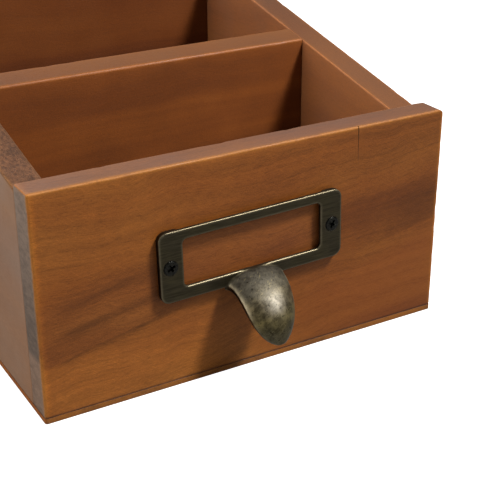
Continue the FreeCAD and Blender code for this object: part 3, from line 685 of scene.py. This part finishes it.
def new_board(node, radii, wear, climb=CLIMB, grime=None, sawn=None, cutters=None, seed=0.0):
    """A board that stands for a CAD node: rounded arrises, a fine even mesh, nicks and small waves along the
    edges, and marks at each point for wear, grime and saw-cut roughness. Climb is how far its top rises for
    each metre towards the back."""
    sizes = bpy.context.scene.organizer_boards
    low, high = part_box(node)
    front_top, rear_top = high.z - climb * (high.y - low.y), high.z
    arrises = board_arrises(low, high, front_top, rear_top)

    bm = bmesh.new()
    for vert in block(bm, low, high):
        if vert.co.z > (low.z + high.z) / 2:
            vert.co.z = front_top if vert.co.y < (low.y + high.y) / 2 else rear_top
    widest = max(radii.values())
    layer = bm.edges.layers.float.new("bevel_weight_edge")
    for edge in bm.edges:
        ends = {tuple(round(c, 6) for c in v.co) for v in edge.verts}
        for name, pair in arrises.items():
            if ends == {tuple(round(c, 6) for c in p) for p in pair}:
                edge[layer] = radii.get(name, sizes.seam_arris) / widest
    item = placed(bm, node + "_wood")
    bevel = item.modifiers.new("Arrises", "BEVEL")
    bevel.width = widest
    bevel.segments = 5
    bevel.limit_method = "WEIGHT"
    bake_modifiers(item)
    if cutters is not None:
        cut(item, cutters)

    bm = opened(item)
    rim = [0.9 * MM, 1.6 * MM, 2.8 * MM]
    for axis in range(3):
        add_mesh_lines(bm, axis, slice_places(low[axis], high[axis], sizes.cell, rim))
    if climb:
        top_normal = Vector((0, -climb, 1)).normalized()
        for step in rim:
            add_mesh_line(bm, Vector((0, low.y, front_top)) - top_normal * step, top_normal)
    bmesh.ops.remove_doubles(bm, verts=bm.verts[:], dist=2e-6)
    bm.normal_update()

    wear_mark = bm.verts.layers.float.new("wear")
    grime_mark = bm.verts.layers.float.new("grime")
    sawn_mark = bm.verts.layers.float.new("sawn")
    reach = sizes.wear_reach
    moves = []
    for vert in bm.verts:
        worn, nearest = 0.0, 1.0
        for name, strength in wear.items():
            gap = segment_distance(vert.co, *arrises[name])
            nearest = min(nearest, gap)
            worn = max(worn, strength * math.exp(-(gap / reach) ** 2 * 0.55))
        vert[wear_mark] = min(1.0, worn)
        if grime is not None:
            vert[grime_mark] = grime(vert.co)
        if sawn is not None:
            vert[sawn_mark] = sawn(vert.co, vert.normal)
        point = vert.co + Vector((seed, 0, 0))
        broad_nick = max(0.0, noise.noise(point * 260) - 0.30) * 2.2
        fine_nick = max(0.0, noise.noise(point * 620) - 0.34) * 1.2
        depth = (broad_nick + fine_nick) * sizes.nick_depth * math.exp(-(nearest / (1.3 * MM)) ** 2)
        wave = 0.03 * MM * (1 + noise.noise(point * 60)) * math.exp(-(nearest / (3 * MM)) ** 2)
        rough = vert[sawn_mark] * 0.16 * MM * (0.6 + noise.noise(point * 520))
        moves.append((vert, vert.normal * -(depth + wave + rough)))
    for vert, move in moves:
        vert.co += move
    put_back(item, bm)
    shade_smooth(item)
    return item


SHEET_BRADS = [f"sheet_{board}_brads" for board in ("front", "left", "right", "divider", "back")]


def brad_sinks(nodes, direction):
    """Shallow round sinks for brad heads, cut from the outer face of a board."""
    sinks = bmesh.new()
    over, deep, radius = 1.0 * MM, 0.55 * MM, 1.28 * MM
    for node in nodes:
        for middle, outer in brad_heads(node, direction):
            cylinder(sinks, outer + direction * over, -direction, radius, over + deep, segments=20)
    return sinks


def brad_heads(node, direction):
    """The middle and the outer end of each brad in a node, along the direction that its head faces."""
    bm = opened(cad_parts[node])
    bmesh.ops.remove_doubles(bm, verts=bm.verts[:], dist=1e-6)
    left = set(bm.verts)
    heads = []
    while left:
        stack, island = [left.pop()], []
        while stack:
            vert = stack.pop()
            island.append(vert.co.copy())
            for edge in vert.link_edges:
                other = edge.other_vert(vert)
                if other in left:
                    left.remove(other)
                    stack.append(other)
        lows = Vector([min(p[i] for p in island) for i in range(3)])
        highs = Vector([max(p[i] for p in island) for i in range(3)])
        middle = (lows + highs) / 2
        outer = middle + direction * (abs((highs - lows).dot(direction)) / 2)
        heads.append((middle, outer))
    bm.free()
    return sorted(heads, key=lambda pair: tuple(pair[0]))


class ORGANIZER_OT_front_board(bpy.types.Operator):
    """Build the front board with its rubbed edges, nicks and drying crack"""
    bl_idname = "organizer.front_board"
    bl_label = "Front Board"

    def execute(self, context):
        sizes = context.scene.organizer_boards
        low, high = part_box("front_panel")
        radii = {"tf": sizes.arris, "tr": sizes.arris, "tl": sizes.arris, "fl": sizes.arris,
                 "fg": sizes.arris, "rg": sizes.end_arris, "tg": sizes.end_arris}
        wear = {"tf": 0.9, "fl": 0.95, "fg": 1.3, "tg": 1.0, "tr": 0.25, "tl": 0.4}

        def grime(point):
            return 0.9 * math.exp(-((point.z - low.z) / (0.6 * MM)) ** 2)

        crack = self.crack_cutter(low.y, high.z, sizes.crack_length)
        item = new_board("front_panel", radii, wear, climb=0.0, grime=grime, cutters=crack, seed=0.31)
        material = wood_finish("front_board_wood", shift=(0.03, 0.11, 0.022), lean=0.12, heart=0.25,
                               contrast=1.5, tint=(1.04, 1.12, 1.5), top=0.63, grey_end=True, figured=True)
        finish_piece(item, material, "stained_wood", "front_panel")
        return {"FINISHED"}

    def crack_cutter(self, face, top, crack_length):
        """A thin wedge for the drying crack, which runs down from the top and closes at its foot."""
        right_of_middle, half_width, depth = 40.1 * MM, 0.15 * MM, 0.7 * MM
        foot_share, foot_drift = 0.15, 0.25 * MM
        crack = bmesh.new()
        middle = Vector((right_of_middle, face, top - crack_length / 2 + 0.5 * MM))
        reach = Vector((half_width, depth, crack_length / 2))
        for vert in block(crack, middle - reach, middle + reach):
            if vert.co.z < middle.z:
                vert.co.x = middle.x + (vert.co.x - middle.x) * foot_share + foot_drift
        return crack


class ORGANIZER_OT_side_boards(bpy.types.Operator):
    """Build the two side boards with their climbing tops; the left one's top is left rough from the saw"""
    bl_idname = "organizer.side_boards"
    bl_label = "Side Boards"

    def execute(self, context):
        sizes = context.scene.organizer_boards
        brads = {"left": ("divider_left_brads", "back_left_brads"),
                 "right": ("divider_right_brads", "back_right_brads")}
        radii = {"tl": sizes.arris, "tg": sizes.arris}

        def sawn(point, normal):
            return limited((normal.z - 0.25) * 2.0)

        for side, outwards in (("left", -X_AXIS), ("right", X_AXIS)):
            node = side + "_side_panel"
            sinks = brad_sinks(brads[side], outwards)
            if side == "left":
                wear = {"tg": 0.15, "tl": 0.45, "tr": 0.3, "rl": 0.3}
                item = new_board(node, radii, wear, sawn=sawn, cutters=sinks, seed=0.7)
                look = {"shift": (0.4, 0.3, 0.1), "tint": (0.86, 0.95, 1.09), "top": 0.75, "bloom": 0.42}
            else:
                wear = {"tl": 0.22, "tg": 0.45, "tr": 0.3, "rg": 0.3}
                item = new_board(node, radii, wear, cutters=sinks, seed=1.3)
                # Painted light: the right board's brighter tint stands in for the light on its inner face,
                # and its low top value is painted shade on its top.
                look = {"shift": (0.9, 0.2, 0.5), "tint": (1.32, 1.26, 1.3), "top": 0.42, "bloom": 0.17}
            material = wood_finish(side + "_side_wood", turn=math.pi / 2, lean=0.05, heart=0.2, contrast=0.6,
                                   **look)
            finish_piece(item, material, "stained_wood", node)
        return {"FINISHED"}


class ORGANIZER_OT_cross_boards(bpy.types.Operator):
    """Build the divider and the back board, which stand between the sides"""
    bl_idname = "organizer.cross_boards"
    bl_label = "Divider and Back Board"

    def execute(self, context):
        sizes = context.scene.organizer_boards
        radii = {"tf": sizes.arris, "tr": sizes.arris}
        wear = {"tf": 0.5, "tr": 0.3}
        for node, shift, heart, tint in (("compartment_divider", (1.7, 0.4, 0.9), 0.55, (0.98, 0.885, 0.80)),
                                         ("back_panel", (2.6, 0.9, 0.33), 0.45, (0.62, 0.52, 0.50))):
            item = new_board(node, radii, wear, seed=shift[0])
            material = wood_finish(node + "_wood", shift=shift, lean=0.08, heart=heart, contrast=0.4,
                                   top=0.59, bloom=0.06, tint=tint)
            finish_piece(item, material, "stained_wood", node)
        return {"FINISHED"}


class ORGANIZER_OT_bottom_sheet(bpy.types.Operator):
    """Build the thin bottom sheet, trimmed flush with the boards, with sinks for the brads"""
    bl_idname = "organizer.bottom_sheet"
    bl_label = "Bottom Sheet"

    def execute(self, context):
        sizes = context.scene.organizer_boards
        low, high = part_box("bottom_sheet")
        step_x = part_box("right_side_panel")[1].x
        step_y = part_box("front_panel")[1].y
        bm = bmesh.new()
        rounded_block(bm, low, high, Z_AXIS, sizes.arris, 4)
        item = placed(bm, "bottom_sheet_board")
        notch = bmesh.new()
        over = 5 * MM
        block(notch, (step_x, step_y, low.z - over), (high.x + over, high.y + over, high.z + over))
        cut(item, notch)
        cut(item, brad_sinks(SHEET_BRADS, -Z_AXIS))
        soften_edges(item, sizes.sheet_arris, 3, 50)
        bm = opened(item)
        for axis in range(2):
            add_mesh_lines(bm, axis, slice_places(low[axis], high[axis], 3 * MM, [1.0 * MM]))
        bm.normal_update()
        wear_mark = bm.verts.layers.float.new("wear")
        grime_mark = bm.verts.layers.float.new("grime")
        for vert in bm.verts:
            vert[wear_mark] = 0.40 if abs(vert.normal.z) < 0.8 else 0.0
            vert[grime_mark] = 0.9 if vert.co.z > high.z - sizes.sheet_arris / 4 else 0.0
        put_back(item, bm)
        shade_smooth(item)
        material = wood_finish("bottom_sheet_wood", turn=math.pi / 2, shift=(3.1, 0.2, 0.8), heart=0.3,
                               contrast=0.6, tint=(1.12, 1.06, 0.85))
        finish_piece(item, material, "bottom_board", "bottom_sheet")
        return {"FINISHED"}


# --- Label holder -----------------------------------------------------------------------------------------


def to_holder_place(bm):
    """Turns a shape made flat at the origin, with -Y outwards, to its place on the front board."""
    bmesh.ops.rotate(bm, verts=bm.verts[:], cent=(0, 0, 0), matrix=Matrix.Rotation(-HOLDER_TILT, 3, "Y"))
    bmesh.ops.translate(bm, verts=bm.verts[:], vec=Vector((HOLDER_MIDDLE.x, FRONT_FACE, HOLDER_MIDDLE.z)))


def holder_frame():
    """The flat frame with its window, card slot and countersunk screw holes, lying at the origin."""
    s = bpy.context.scene.organizer_holder
    bm = bmesh.new()
    rounded_block(bm, (-s.width / 2, -s.thickness, -s.height / 2), (s.width / 2, 0, s.height / 2), Y_AXIS,
                  s.corner, 8)
    item = placed(bm, "holder_frame_blank")
    window_low, window_high = s.window_rise - s.window_height / 2, s.window_rise + s.window_height / 2
    bm = bmesh.new()
    rounded_block(bm, (-s.window_width / 2, -2 * s.thickness, window_low),
                  (s.window_width / 2, s.thickness, window_high), Y_AXIS, s.window_corner, 6)
    cut(item, bm)
    bm = bmesh.new()
    reach = s.window_width / 2 + s.slot_lap
    block(bm, (-reach, -s.slot_depth, window_low - s.slot_lap), (reach, s.thickness, s.height / 2 + 1 * MM))
    cut(item, bm)
    bm = bmesh.new()
    for side in (-1, 1):
        at = Vector((side * SCREW_PITCH / 2, 0, 0))
        cylinder(bm, at + Y_AXIS * s.thickness, -Y_AXIS, s.screw_shank / 2 + 0.1 * MM, 3 * s.thickness)
    cut(item, bm)
    bm = bmesh.new()
    for side in (-1, 1):
        at = Vector((side * SCREW_PITCH / 2, -s.thickness - 0.4 * MM, 0))
        sink = (s.screw_head - s.screw_shank) / 2
        cylinder(bm, at, Y_AXIS, s.screw_head / 2 + 0.5 * MM, sink + 0.5 * MM, tip=s.screw_shank / 2)
    cut(item, bm)
    return item


def pull_point(side, share):
    """A point of the finger pull's outer face and the way out of it. Side runs from -1 to 1 across the pull,
    and share from 0 at its root to 1 at its tip."""
    s = bpy.context.scene.organizer_holder
    lap = 1.0 * MM
    reach = s.tongue_reach + lap
    along = 0.992 * math.sin(share * math.pi / 2) ** 1.15
    turn = along * math.pi / 2
    run = Vector((0, -reach * math.cos(turn), -s.tongue_drop * math.sin(turn))).normalized()
    outwards = Vector((0, run.z, -run.y))
    full = s.tongue_width + (s.tongue_tip - s.tongue_width) * along
    full += 2.6 * MM * math.exp(-along / 0.05)
    narrowing = math.sqrt(1 - along ** 5)
    droop = s.tongue_crown * narrowing * (1 - math.sqrt(1 - 0.88 * side * side)) / (1 - math.sqrt(0.12))
    centre = Vector((0, lap - s.thickness - reach * math.sin(turn),
                     s.window_rise - s.window_height / 2 - s.tongue_drop * (1 - math.cos(turn))))
    return centre + X_AXIS * (side * full / 2 * narrowing) - outwards * droop, outwards


def pull_shell():
    """The finger pull: a grid bent down into a crowned tongue, then given a wall with square sides."""
    s = bpy.context.scene.organizer_holder
    bm = bmesh.new()
    bmesh.ops.create_grid(bm, x_segments=36, y_segments=56, size=0.5)
    places = {vert: (vert.co.x * 2, vert.co.y + 0.5) for vert in bm.verts}
    inwards = {}
    for vert, (side, share) in places.items():
        vert.co, outwards = pull_point(side, share)
        inwards[tuple(vert.co)] = -outwards - X_AXIS * (side * 0.25)
    made = bmesh.ops.extrude_face_region(bm, geom=bm.faces[:], use_keep_orig=True)["geom"]
    for item in made:
        if isinstance(item, bmesh.types.BMVert):
            item.co += inwards[tuple(item.co)] * s.tongue_wall
    bmesh.ops.recalc_face_normals(bm, faces=bm.faces[:])
    return bm


def rubbed_edges(bm, layer, reach):
    """Marks each point by how far it stands out from its surroundings, so that arrises come out rubbed."""
    for vert in bm.verts:
        around = [edge.other_vert(vert).co for edge in vert.link_edges]
        middle = sum(around, Vector()) / len(around)
        vert[layer] = max(0.0, (vert.co - middle).dot(vert.normal) / reach)
    wider = {v: (v[layer] + max(e.other_vert(v)[layer] for e in v.link_edges)) / 2 for v in bm.verts}
    for vert, value in wider.items():
        vert[layer] = value


class ORGANIZER_OT_label_holder(bpy.types.Operator):
    """Build the cast label holder, whose lower rail runs out into the finger pull"""
    bl_idname = "organizer.label_holder"
    bl_label = "Label Holder and Pull"

    def execute(self, context):
        s = context.scene.organizer_holder
        item = holder_frame()
        bm = pull_shell()
        bm.from_mesh(item.data)
        bpy.data.objects.remove(item)
        item = placed(bm, "label_holder_casting")
        remesh = item.modifiers.new("Casting", "REMESH")
        remesh.mode = "VOXEL"
        remesh.voxel_size = s.voxel
        bake_modifiers(item)
        bm = opened(item)
        for _ in range(s.smoothing):
            bmesh.ops.smooth_vert(bm, verts=bm.verts[:], factor=0.5, use_axis_x=True, use_axis_y=True,
                                  use_axis_z=True)
        bm.normal_update()
        self.mark_wear(bm, s)
        to_holder_place(bm)
        put_back(item, bm)
        shade_smooth(item)
        finish_piece(item, brass_finish("antique_brass_casting"), "antique_brass", "label_holder_pull")
        return {"FINISHED"}

    def mark_wear(self, bm, s):
        """Marks, while the casting still lies at the origin, where it is rubbed, where fingers handle it and
        it faces out or up, where painted shade makes it nearly black, partly dark patina, where the painted
        highlight spot and the lip highlights lie, and how far down the pull each point is."""
        wear = bm.verts.layers.float.new("wear")
        rubbed_edges(bm, wear, 0.075 * MM)
        handled = bm.verts.layers.float.new("handled")
        rim = bm.verts.layers.float.new("rim")
        tip = bm.verts.layers.float.new("tip")
        spot = bm.verts.layers.float.new("rubbed_spot")
        window_foot = s.window_rise - s.window_height / 2
        highlight_middle, spot_size = Vector((0.2 * MM, -15.0 * MM, -15.8 * MM)), 3.6 * MM
        countersink_shade = s.screw_head * 0.64
        lip_highlight_width = 0.95 * MM
        lip_highlights = [[pull_point(side, step / 40)[0] for step in range(41)] for side in (-1, 1)]
        for vert in bm.verts:
            out = -vert.co.y - s.thickness
            down = (window_foot - vert.co.z) / s.tongue_drop
            outer = limited(0.2 - 2.2 * vert.normal.y + 1.6 * vert.normal.z)
            # Painted shade: only faces that turn out or up take the pull's brass, so its walls and underside
            # keep the dark flat patina.
            vert[handled] = limited(out / (1.2 * MM)) * outer
            vert[tip] = limited(down)
            # Painted highlight: a round spot where the right softbox's reflection falls on the pull.
            vert[spot] = math.exp(-((vert.co - highlight_middle).length / spot_size) ** 2) * outer
            # Painted shade for the rim mark: frame walls that face sideways or down, the pull's walls and
            # underside, and a ring round each screw head.
            if out < 0.2 * MM:
                dark = limited(1.2 + 1.6 * vert.normal.y) * (1.0 - max(0.0, vert.normal.z))
            else:
                dark = 1.0 - outer
            from_screw = math.hypot(abs(vert.co.x) - SCREW_PITCH / 2, vert.co.z)
            vert[rim] = max(dark, 0.85 * limited((countersink_shade - from_screw) / (0.5 * MM)))
            vert[wear] = min(1.0, vert[wear]) ** 1.5
            # Painted highlight along the pull's lips, partly rubbed brass: a bright line on faces that turn
            # out or up, strongest high up the pull.
            if out > 0.6 * MM:
                gap = min(segment_distance(vert.co, *pair) for lip in lip_highlights for pair in zip(lip, lip[1:]))
                high_up = max(0.22, min(1.0, (0.62 - down) / 0.15))
                vert[wear] = max(0.3 * vert[wear], math.exp(-(gap / lip_highlight_width) ** 2) * outer * high_up)
            if vert.co.y > -0.5 * s.thickness:
                vert[wear] = 0.0


class ORGANIZER_OT_holder_screws(bpy.types.Operator):
    """Build the two blackened countersunk screws with their cross recesses"""
    bl_idname = "organizer.holder_screws"
    bl_label = "Holder Screws"

    def execute(self, context):
        s = context.scene.organizer_holder
        steel = context.scene.organizer_metal.screw
        material = steel_finish("blackened_screw_steel", steel, 0.30, 0.6, 0.04)
        head, shank = s.screw_head / 2, s.screw_shank / 2
        # The domed top: shares of the head's radius, and millimetres behind the holder's face.
        profile = [(0, -0.35), (0.45, -0.33), (0.9, -0.24), (1.0, -0.10), (1.0, 0.02)]
        arm_reach, arm_width = head * 0.76, 0.46 * MM
        for side, node in ((-1, "left_holder_screw"), (1, "right_holder_screw")):
            bm = bmesh.new()
            points = [Vector((head * across, along * MM, 0)) for across, along in profile]
            sink = head - shank
            points += [Vector((shank, sink, 0)), Vector((shank, 8 * MM, 0)), Vector((0, 10 * MM, 0))]
            verts = [bm.verts.new(p) for p in points]
            edges = [bm.edges.new(pair) for pair in zip(verts, verts[1:])]
            bmesh.ops.spin(bm, geom=verts + edges, cent=(0, 0, 0), axis=(0, 1, 0), angle=2 * math.pi,
                           steps=32, use_merge=True, use_duplicate=False)
            bmesh.ops.remove_doubles(bm, verts=bm.verts[:], dist=1e-6)
            bmesh.ops.recalc_face_normals(bm, faces=bm.faces[:])
            item = placed(bm, node + "_steel")
            for turn in (0, math.pi / 2):
                arm = bmesh.new()
                block(arm, (-arm_reach, -1.0 * MM, -arm_width), (arm_reach, 1.05 * MM, arm_width))
                for vert in arm.verts:
                    if vert.co.y > 0:
                        vert.co.x *= 0.45
                        vert.co.z *= 0.6
                spin = Matrix.Rotation(turn + side * 0.5, 3, "Y")
                bmesh.ops.rotate(arm, verts=arm.verts[:], cent=(0, 0, 0), matrix=spin)
                cut(item, arm)
            soften_edges(item, 0.06 * MM, 2, 35)
            bm = opened(item)
            bmesh.ops.translate(bm, verts=bm.verts[:], vec=(side * SCREW_PITCH / 2, -s.thickness, 0))
            to_holder_place(bm)
            put_back(item, bm)
            finish_piece(item, material, "dark_screw_steel", node)
        return {"FINISHED"}


# --- Hidden fixings ---------------------------------------------------------------------------------------


BRAD_SINK = 0.15 * MM
BRAD_HEAD_RADIUS, BRAD_HEAD_DEPTH = 1.17 * MM, 0.4 * MM
BRAD_SHANK_RADIUS = 0.68 * MM
BRAD_POINT_LENGTH, BRAD_POINT_RADIUS = 1.8 * MM, 0.12 * MM


class ORGANIZER_OT_brads(bpy.types.Operator):
    """Build the rows of brads, with flat heads that sit just under the faces they are driven through"""
    bl_idname = "organizer.brads"
    bl_label = "Brads"

    def execute(self, context):
        material = steel_finish("bright_brad_steel", context.scene.organizer_metal.brad, 0.42, 0.22, 0.45)
        rows = {f"{board}_{side}_brads": -X_AXIS if side == "left" else X_AXIS
                for board in ("divider", "back") for side in ("left", "right")}
        rows.update({node: -Z_AXIS for node in SHEET_BRADS})
        for node, direction in rows.items():
            bm = bmesh.new()
            for middle, outer in brad_heads(node, direction):
                long = (outer - middle).dot(direction) * 2
                self.add_brad(bm, outer - direction * BRAD_SINK, direction, long)
            finish_piece(placed(bm, node + "_steel"), material, "brad_steel", node)
        return {"FINISHED"}

    def add_brad(self, bm, start, direction, long):
        """Adds one brad: its head faces the direction, and its shank runs back from the start point."""
        head = cylinder(bm, start, -direction, BRAD_HEAD_RADIUS, BRAD_HEAD_DEPTH)
        rim = [e for v in head for e in v.link_edges
               if all(abs((w.co - start).dot(direction)) < 1e-6 for w in e.verts)]
        round_edges(bm, list(set(rim)), 0.14 * MM, 2)
        point_start = long - 2.0 * MM
        cylinder(bm, start - direction * BRAD_HEAD_DEPTH, -direction, BRAD_SHANK_RADIUS,
                 point_start - BRAD_HEAD_DEPTH, segments=16)
        cylinder(bm, start - direction * point_start, -direction, BRAD_SHANK_RADIUS, BRAD_POINT_LENGTH,
                 segments=16, tip=BRAD_POINT_RADIUS)


class ORGANIZER_OT_dowels(bpy.types.Operator):
    """Build the fluted dowels inside the front corners"""
    bl_idname = "organizer.dowels"
    bl_label = "Dowels"

    def execute(self, context):
        material = dowel_finish("dowel_beech")
        for side in ("left", "right"):
            for level in ("lower", "upper"):
                node = f"front_{side}_{level}_dowel"
                low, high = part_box(node)
                middle, radius = (low + high) / 2, (high.x - low.x) / 2
                bm = bmesh.new()
                start = Vector((middle.x, low.y, middle.z))
                cylinder(bm, start, Y_AXIS, radius, high.y - low.y, segments=36)
                ends = [e for e in bm.edges if abs((e.verts[0].co - e.verts[1].co).normalized().y) < 0.5]
                round_edges(bm, ends, 0.6 * MM, 2)
                for vert in bm.verts:
                    away = Vector((vert.co.x - middle.x, 0, vert.co.z - middle.z))
                    facet = round(math.atan2(away.z, away.x) / math.radians(10))
                    if away.length > radius * 0.9 and facet % 3 == 0:
                        vert.co -= away.normalized() * 0.25 * MM
                item = placed(bm, node + "_wood")
                finish_piece(item, material, "dowel_wood", node)
        return {"FINISHED"}


# --- Stage ------------------------------------------------------------------------------------------------

SOFTBOX_PLACES = {"key": (0.50, -0.50, 1.04), "right": (0.47, -0.82, 0.60), "left": (-1.1, 0.05, 0.55),
                  "back": (-0.25, 1.15, 0.70)}
LIT_POINT = Vector((0, 0, 0.04))


class ORGANIZER_OT_stage(bpy.types.Operator):
    """Lay the floor and set the lights and the camera"""
    bl_idname = "organizer.stage"
    bl_label = "Stage"

    def execute(self, context):
        scene = context.scene
        s = scene.organizer_stage
        bm = bmesh.new()
        bmesh.ops.create_grid(bm, x_segments=8, y_segments=8, size=3.0)
        bmesh.ops.translate(bm, verts=bm.verts[:], vec=(0, 0, -0.05 * MM))
        floor = placed(bm, "studio_floor")
        floor.data.materials.append(floor_finish("studio_floor_paint"))

        world = bpy.data.worlds.new("studio_white")
        world.use_nodes = True
        back = world.node_tree.nodes["Background"]
        back.inputs["Color"].default_value = (1.0, 1.0, 1.0, 1.0)
        seen = world.node_tree.nodes.new("ShaderNodeLightPath")
        strength = world.node_tree.nodes.new("ShaderNodeMapRange")
        strength.inputs["To Min"].default_value = s.sky
        strength.inputs["To Max"].default_value = 1.0
        world.node_tree.links.new(seen.outputs["Is Camera Ray"], strength.inputs["Value"])
        world.node_tree.links.new(strength.outputs["Result"], back.inputs["Strength"])
        scene.world = world

        for name, place in SOFTBOX_PLACES.items():
            self.softbox(scene, name + "_softbox", Vector(place), getattr(s, name + "_size"),
                         getattr(s, name + "_power"))

        data = bpy.data.cameras.new("camera")
        data.lens = s.lens
        data.sensor_width = 36.0
        data.clip_start, data.clip_end = 0.01, 20.0
        camera = bpy.data.objects.new("camera", data)
        camera.location = s.eye
        camera.rotation_mode = "QUATERNION"
        camera.rotation_quaternion = Vector(s.sight).to_track_quat("-Z", "Y")
        scene.collection.objects.link(camera)
        scene.camera = camera
        scene.view_settings.view_transform = "Standard"
        return {"FINISHED"}

    def softbox(self, scene, name, place, width, power):
        data = bpy.data.lights.new(name, "AREA")
        data.shape = "SQUARE"
        data.size = width
        data.energy = power
        light = bpy.data.objects.new(name, data)
        light.location = place
        light.rotation_mode = "QUATERNION"
        light.rotation_quaternion = (LIT_POINT - place).to_track_quat("-Z", "Y")
        scene.collection.objects.link(light)


# --- Add-on -----------------------------------------------------------------------------------------------

OPERATORS = (
    ORGANIZER_OT_stage,
    ORGANIZER_OT_front_board,
    ORGANIZER_OT_side_boards,
    ORGANIZER_OT_cross_boards,
    ORGANIZER_OT_bottom_sheet,
    ORGANIZER_OT_label_holder,
    ORGANIZER_OT_holder_screws,
    ORGANIZER_OT_brads,
    ORGANIZER_OT_dowels,
)

SETTINGS = {
    "organizer_boards": BoardSizes,
    "organizer_wood": WoodColours,
    "organizer_holder": HolderSizes,
    "organizer_metal": MetalColours,
    "organizer_stage": StageSettings,
}


class ORGANIZER_PT_panel(bpy.types.Panel):
    """Lists the pieces of the organizer and their settings"""
    bl_idname = "ORGANIZER_PT_panel"
    bl_label = "Desk Organizer"
    bl_space_type = "VIEW_3D"
    bl_region_type = "UI"
    bl_category = "Organizer"

    def draw(self, context):
        for operator in OPERATORS:
            self.layout.operator(operator.bl_idname)
        for key, group in SETTINGS.items():
            box = self.layout.box()
            for name in group.__annotations__:
                box.prop(getattr(context.scene, key), name)


def register():
    for one in (*SETTINGS.values(), *OPERATORS, ORGANIZER_PT_panel):
        bpy.utils.register_class(one)
    for key, group in SETTINGS.items():
        setattr(bpy.types.Scene, key, PointerProperty(type=group))


def unregister():
    for key in SETTINGS:
        delattr(bpy.types.Scene, key)
    for one in reversed((*SETTINGS.values(), *OPERATORS, ORGANIZER_PT_panel)):
        bpy.utils.unregister_class(one)


def main():
    register()
    for operator in OPERATORS:
        group, name = operator.bl_idname.split(".")
        getattr(getattr(bpy.ops, group), name)()


if __name__ == "__main__":
    main()
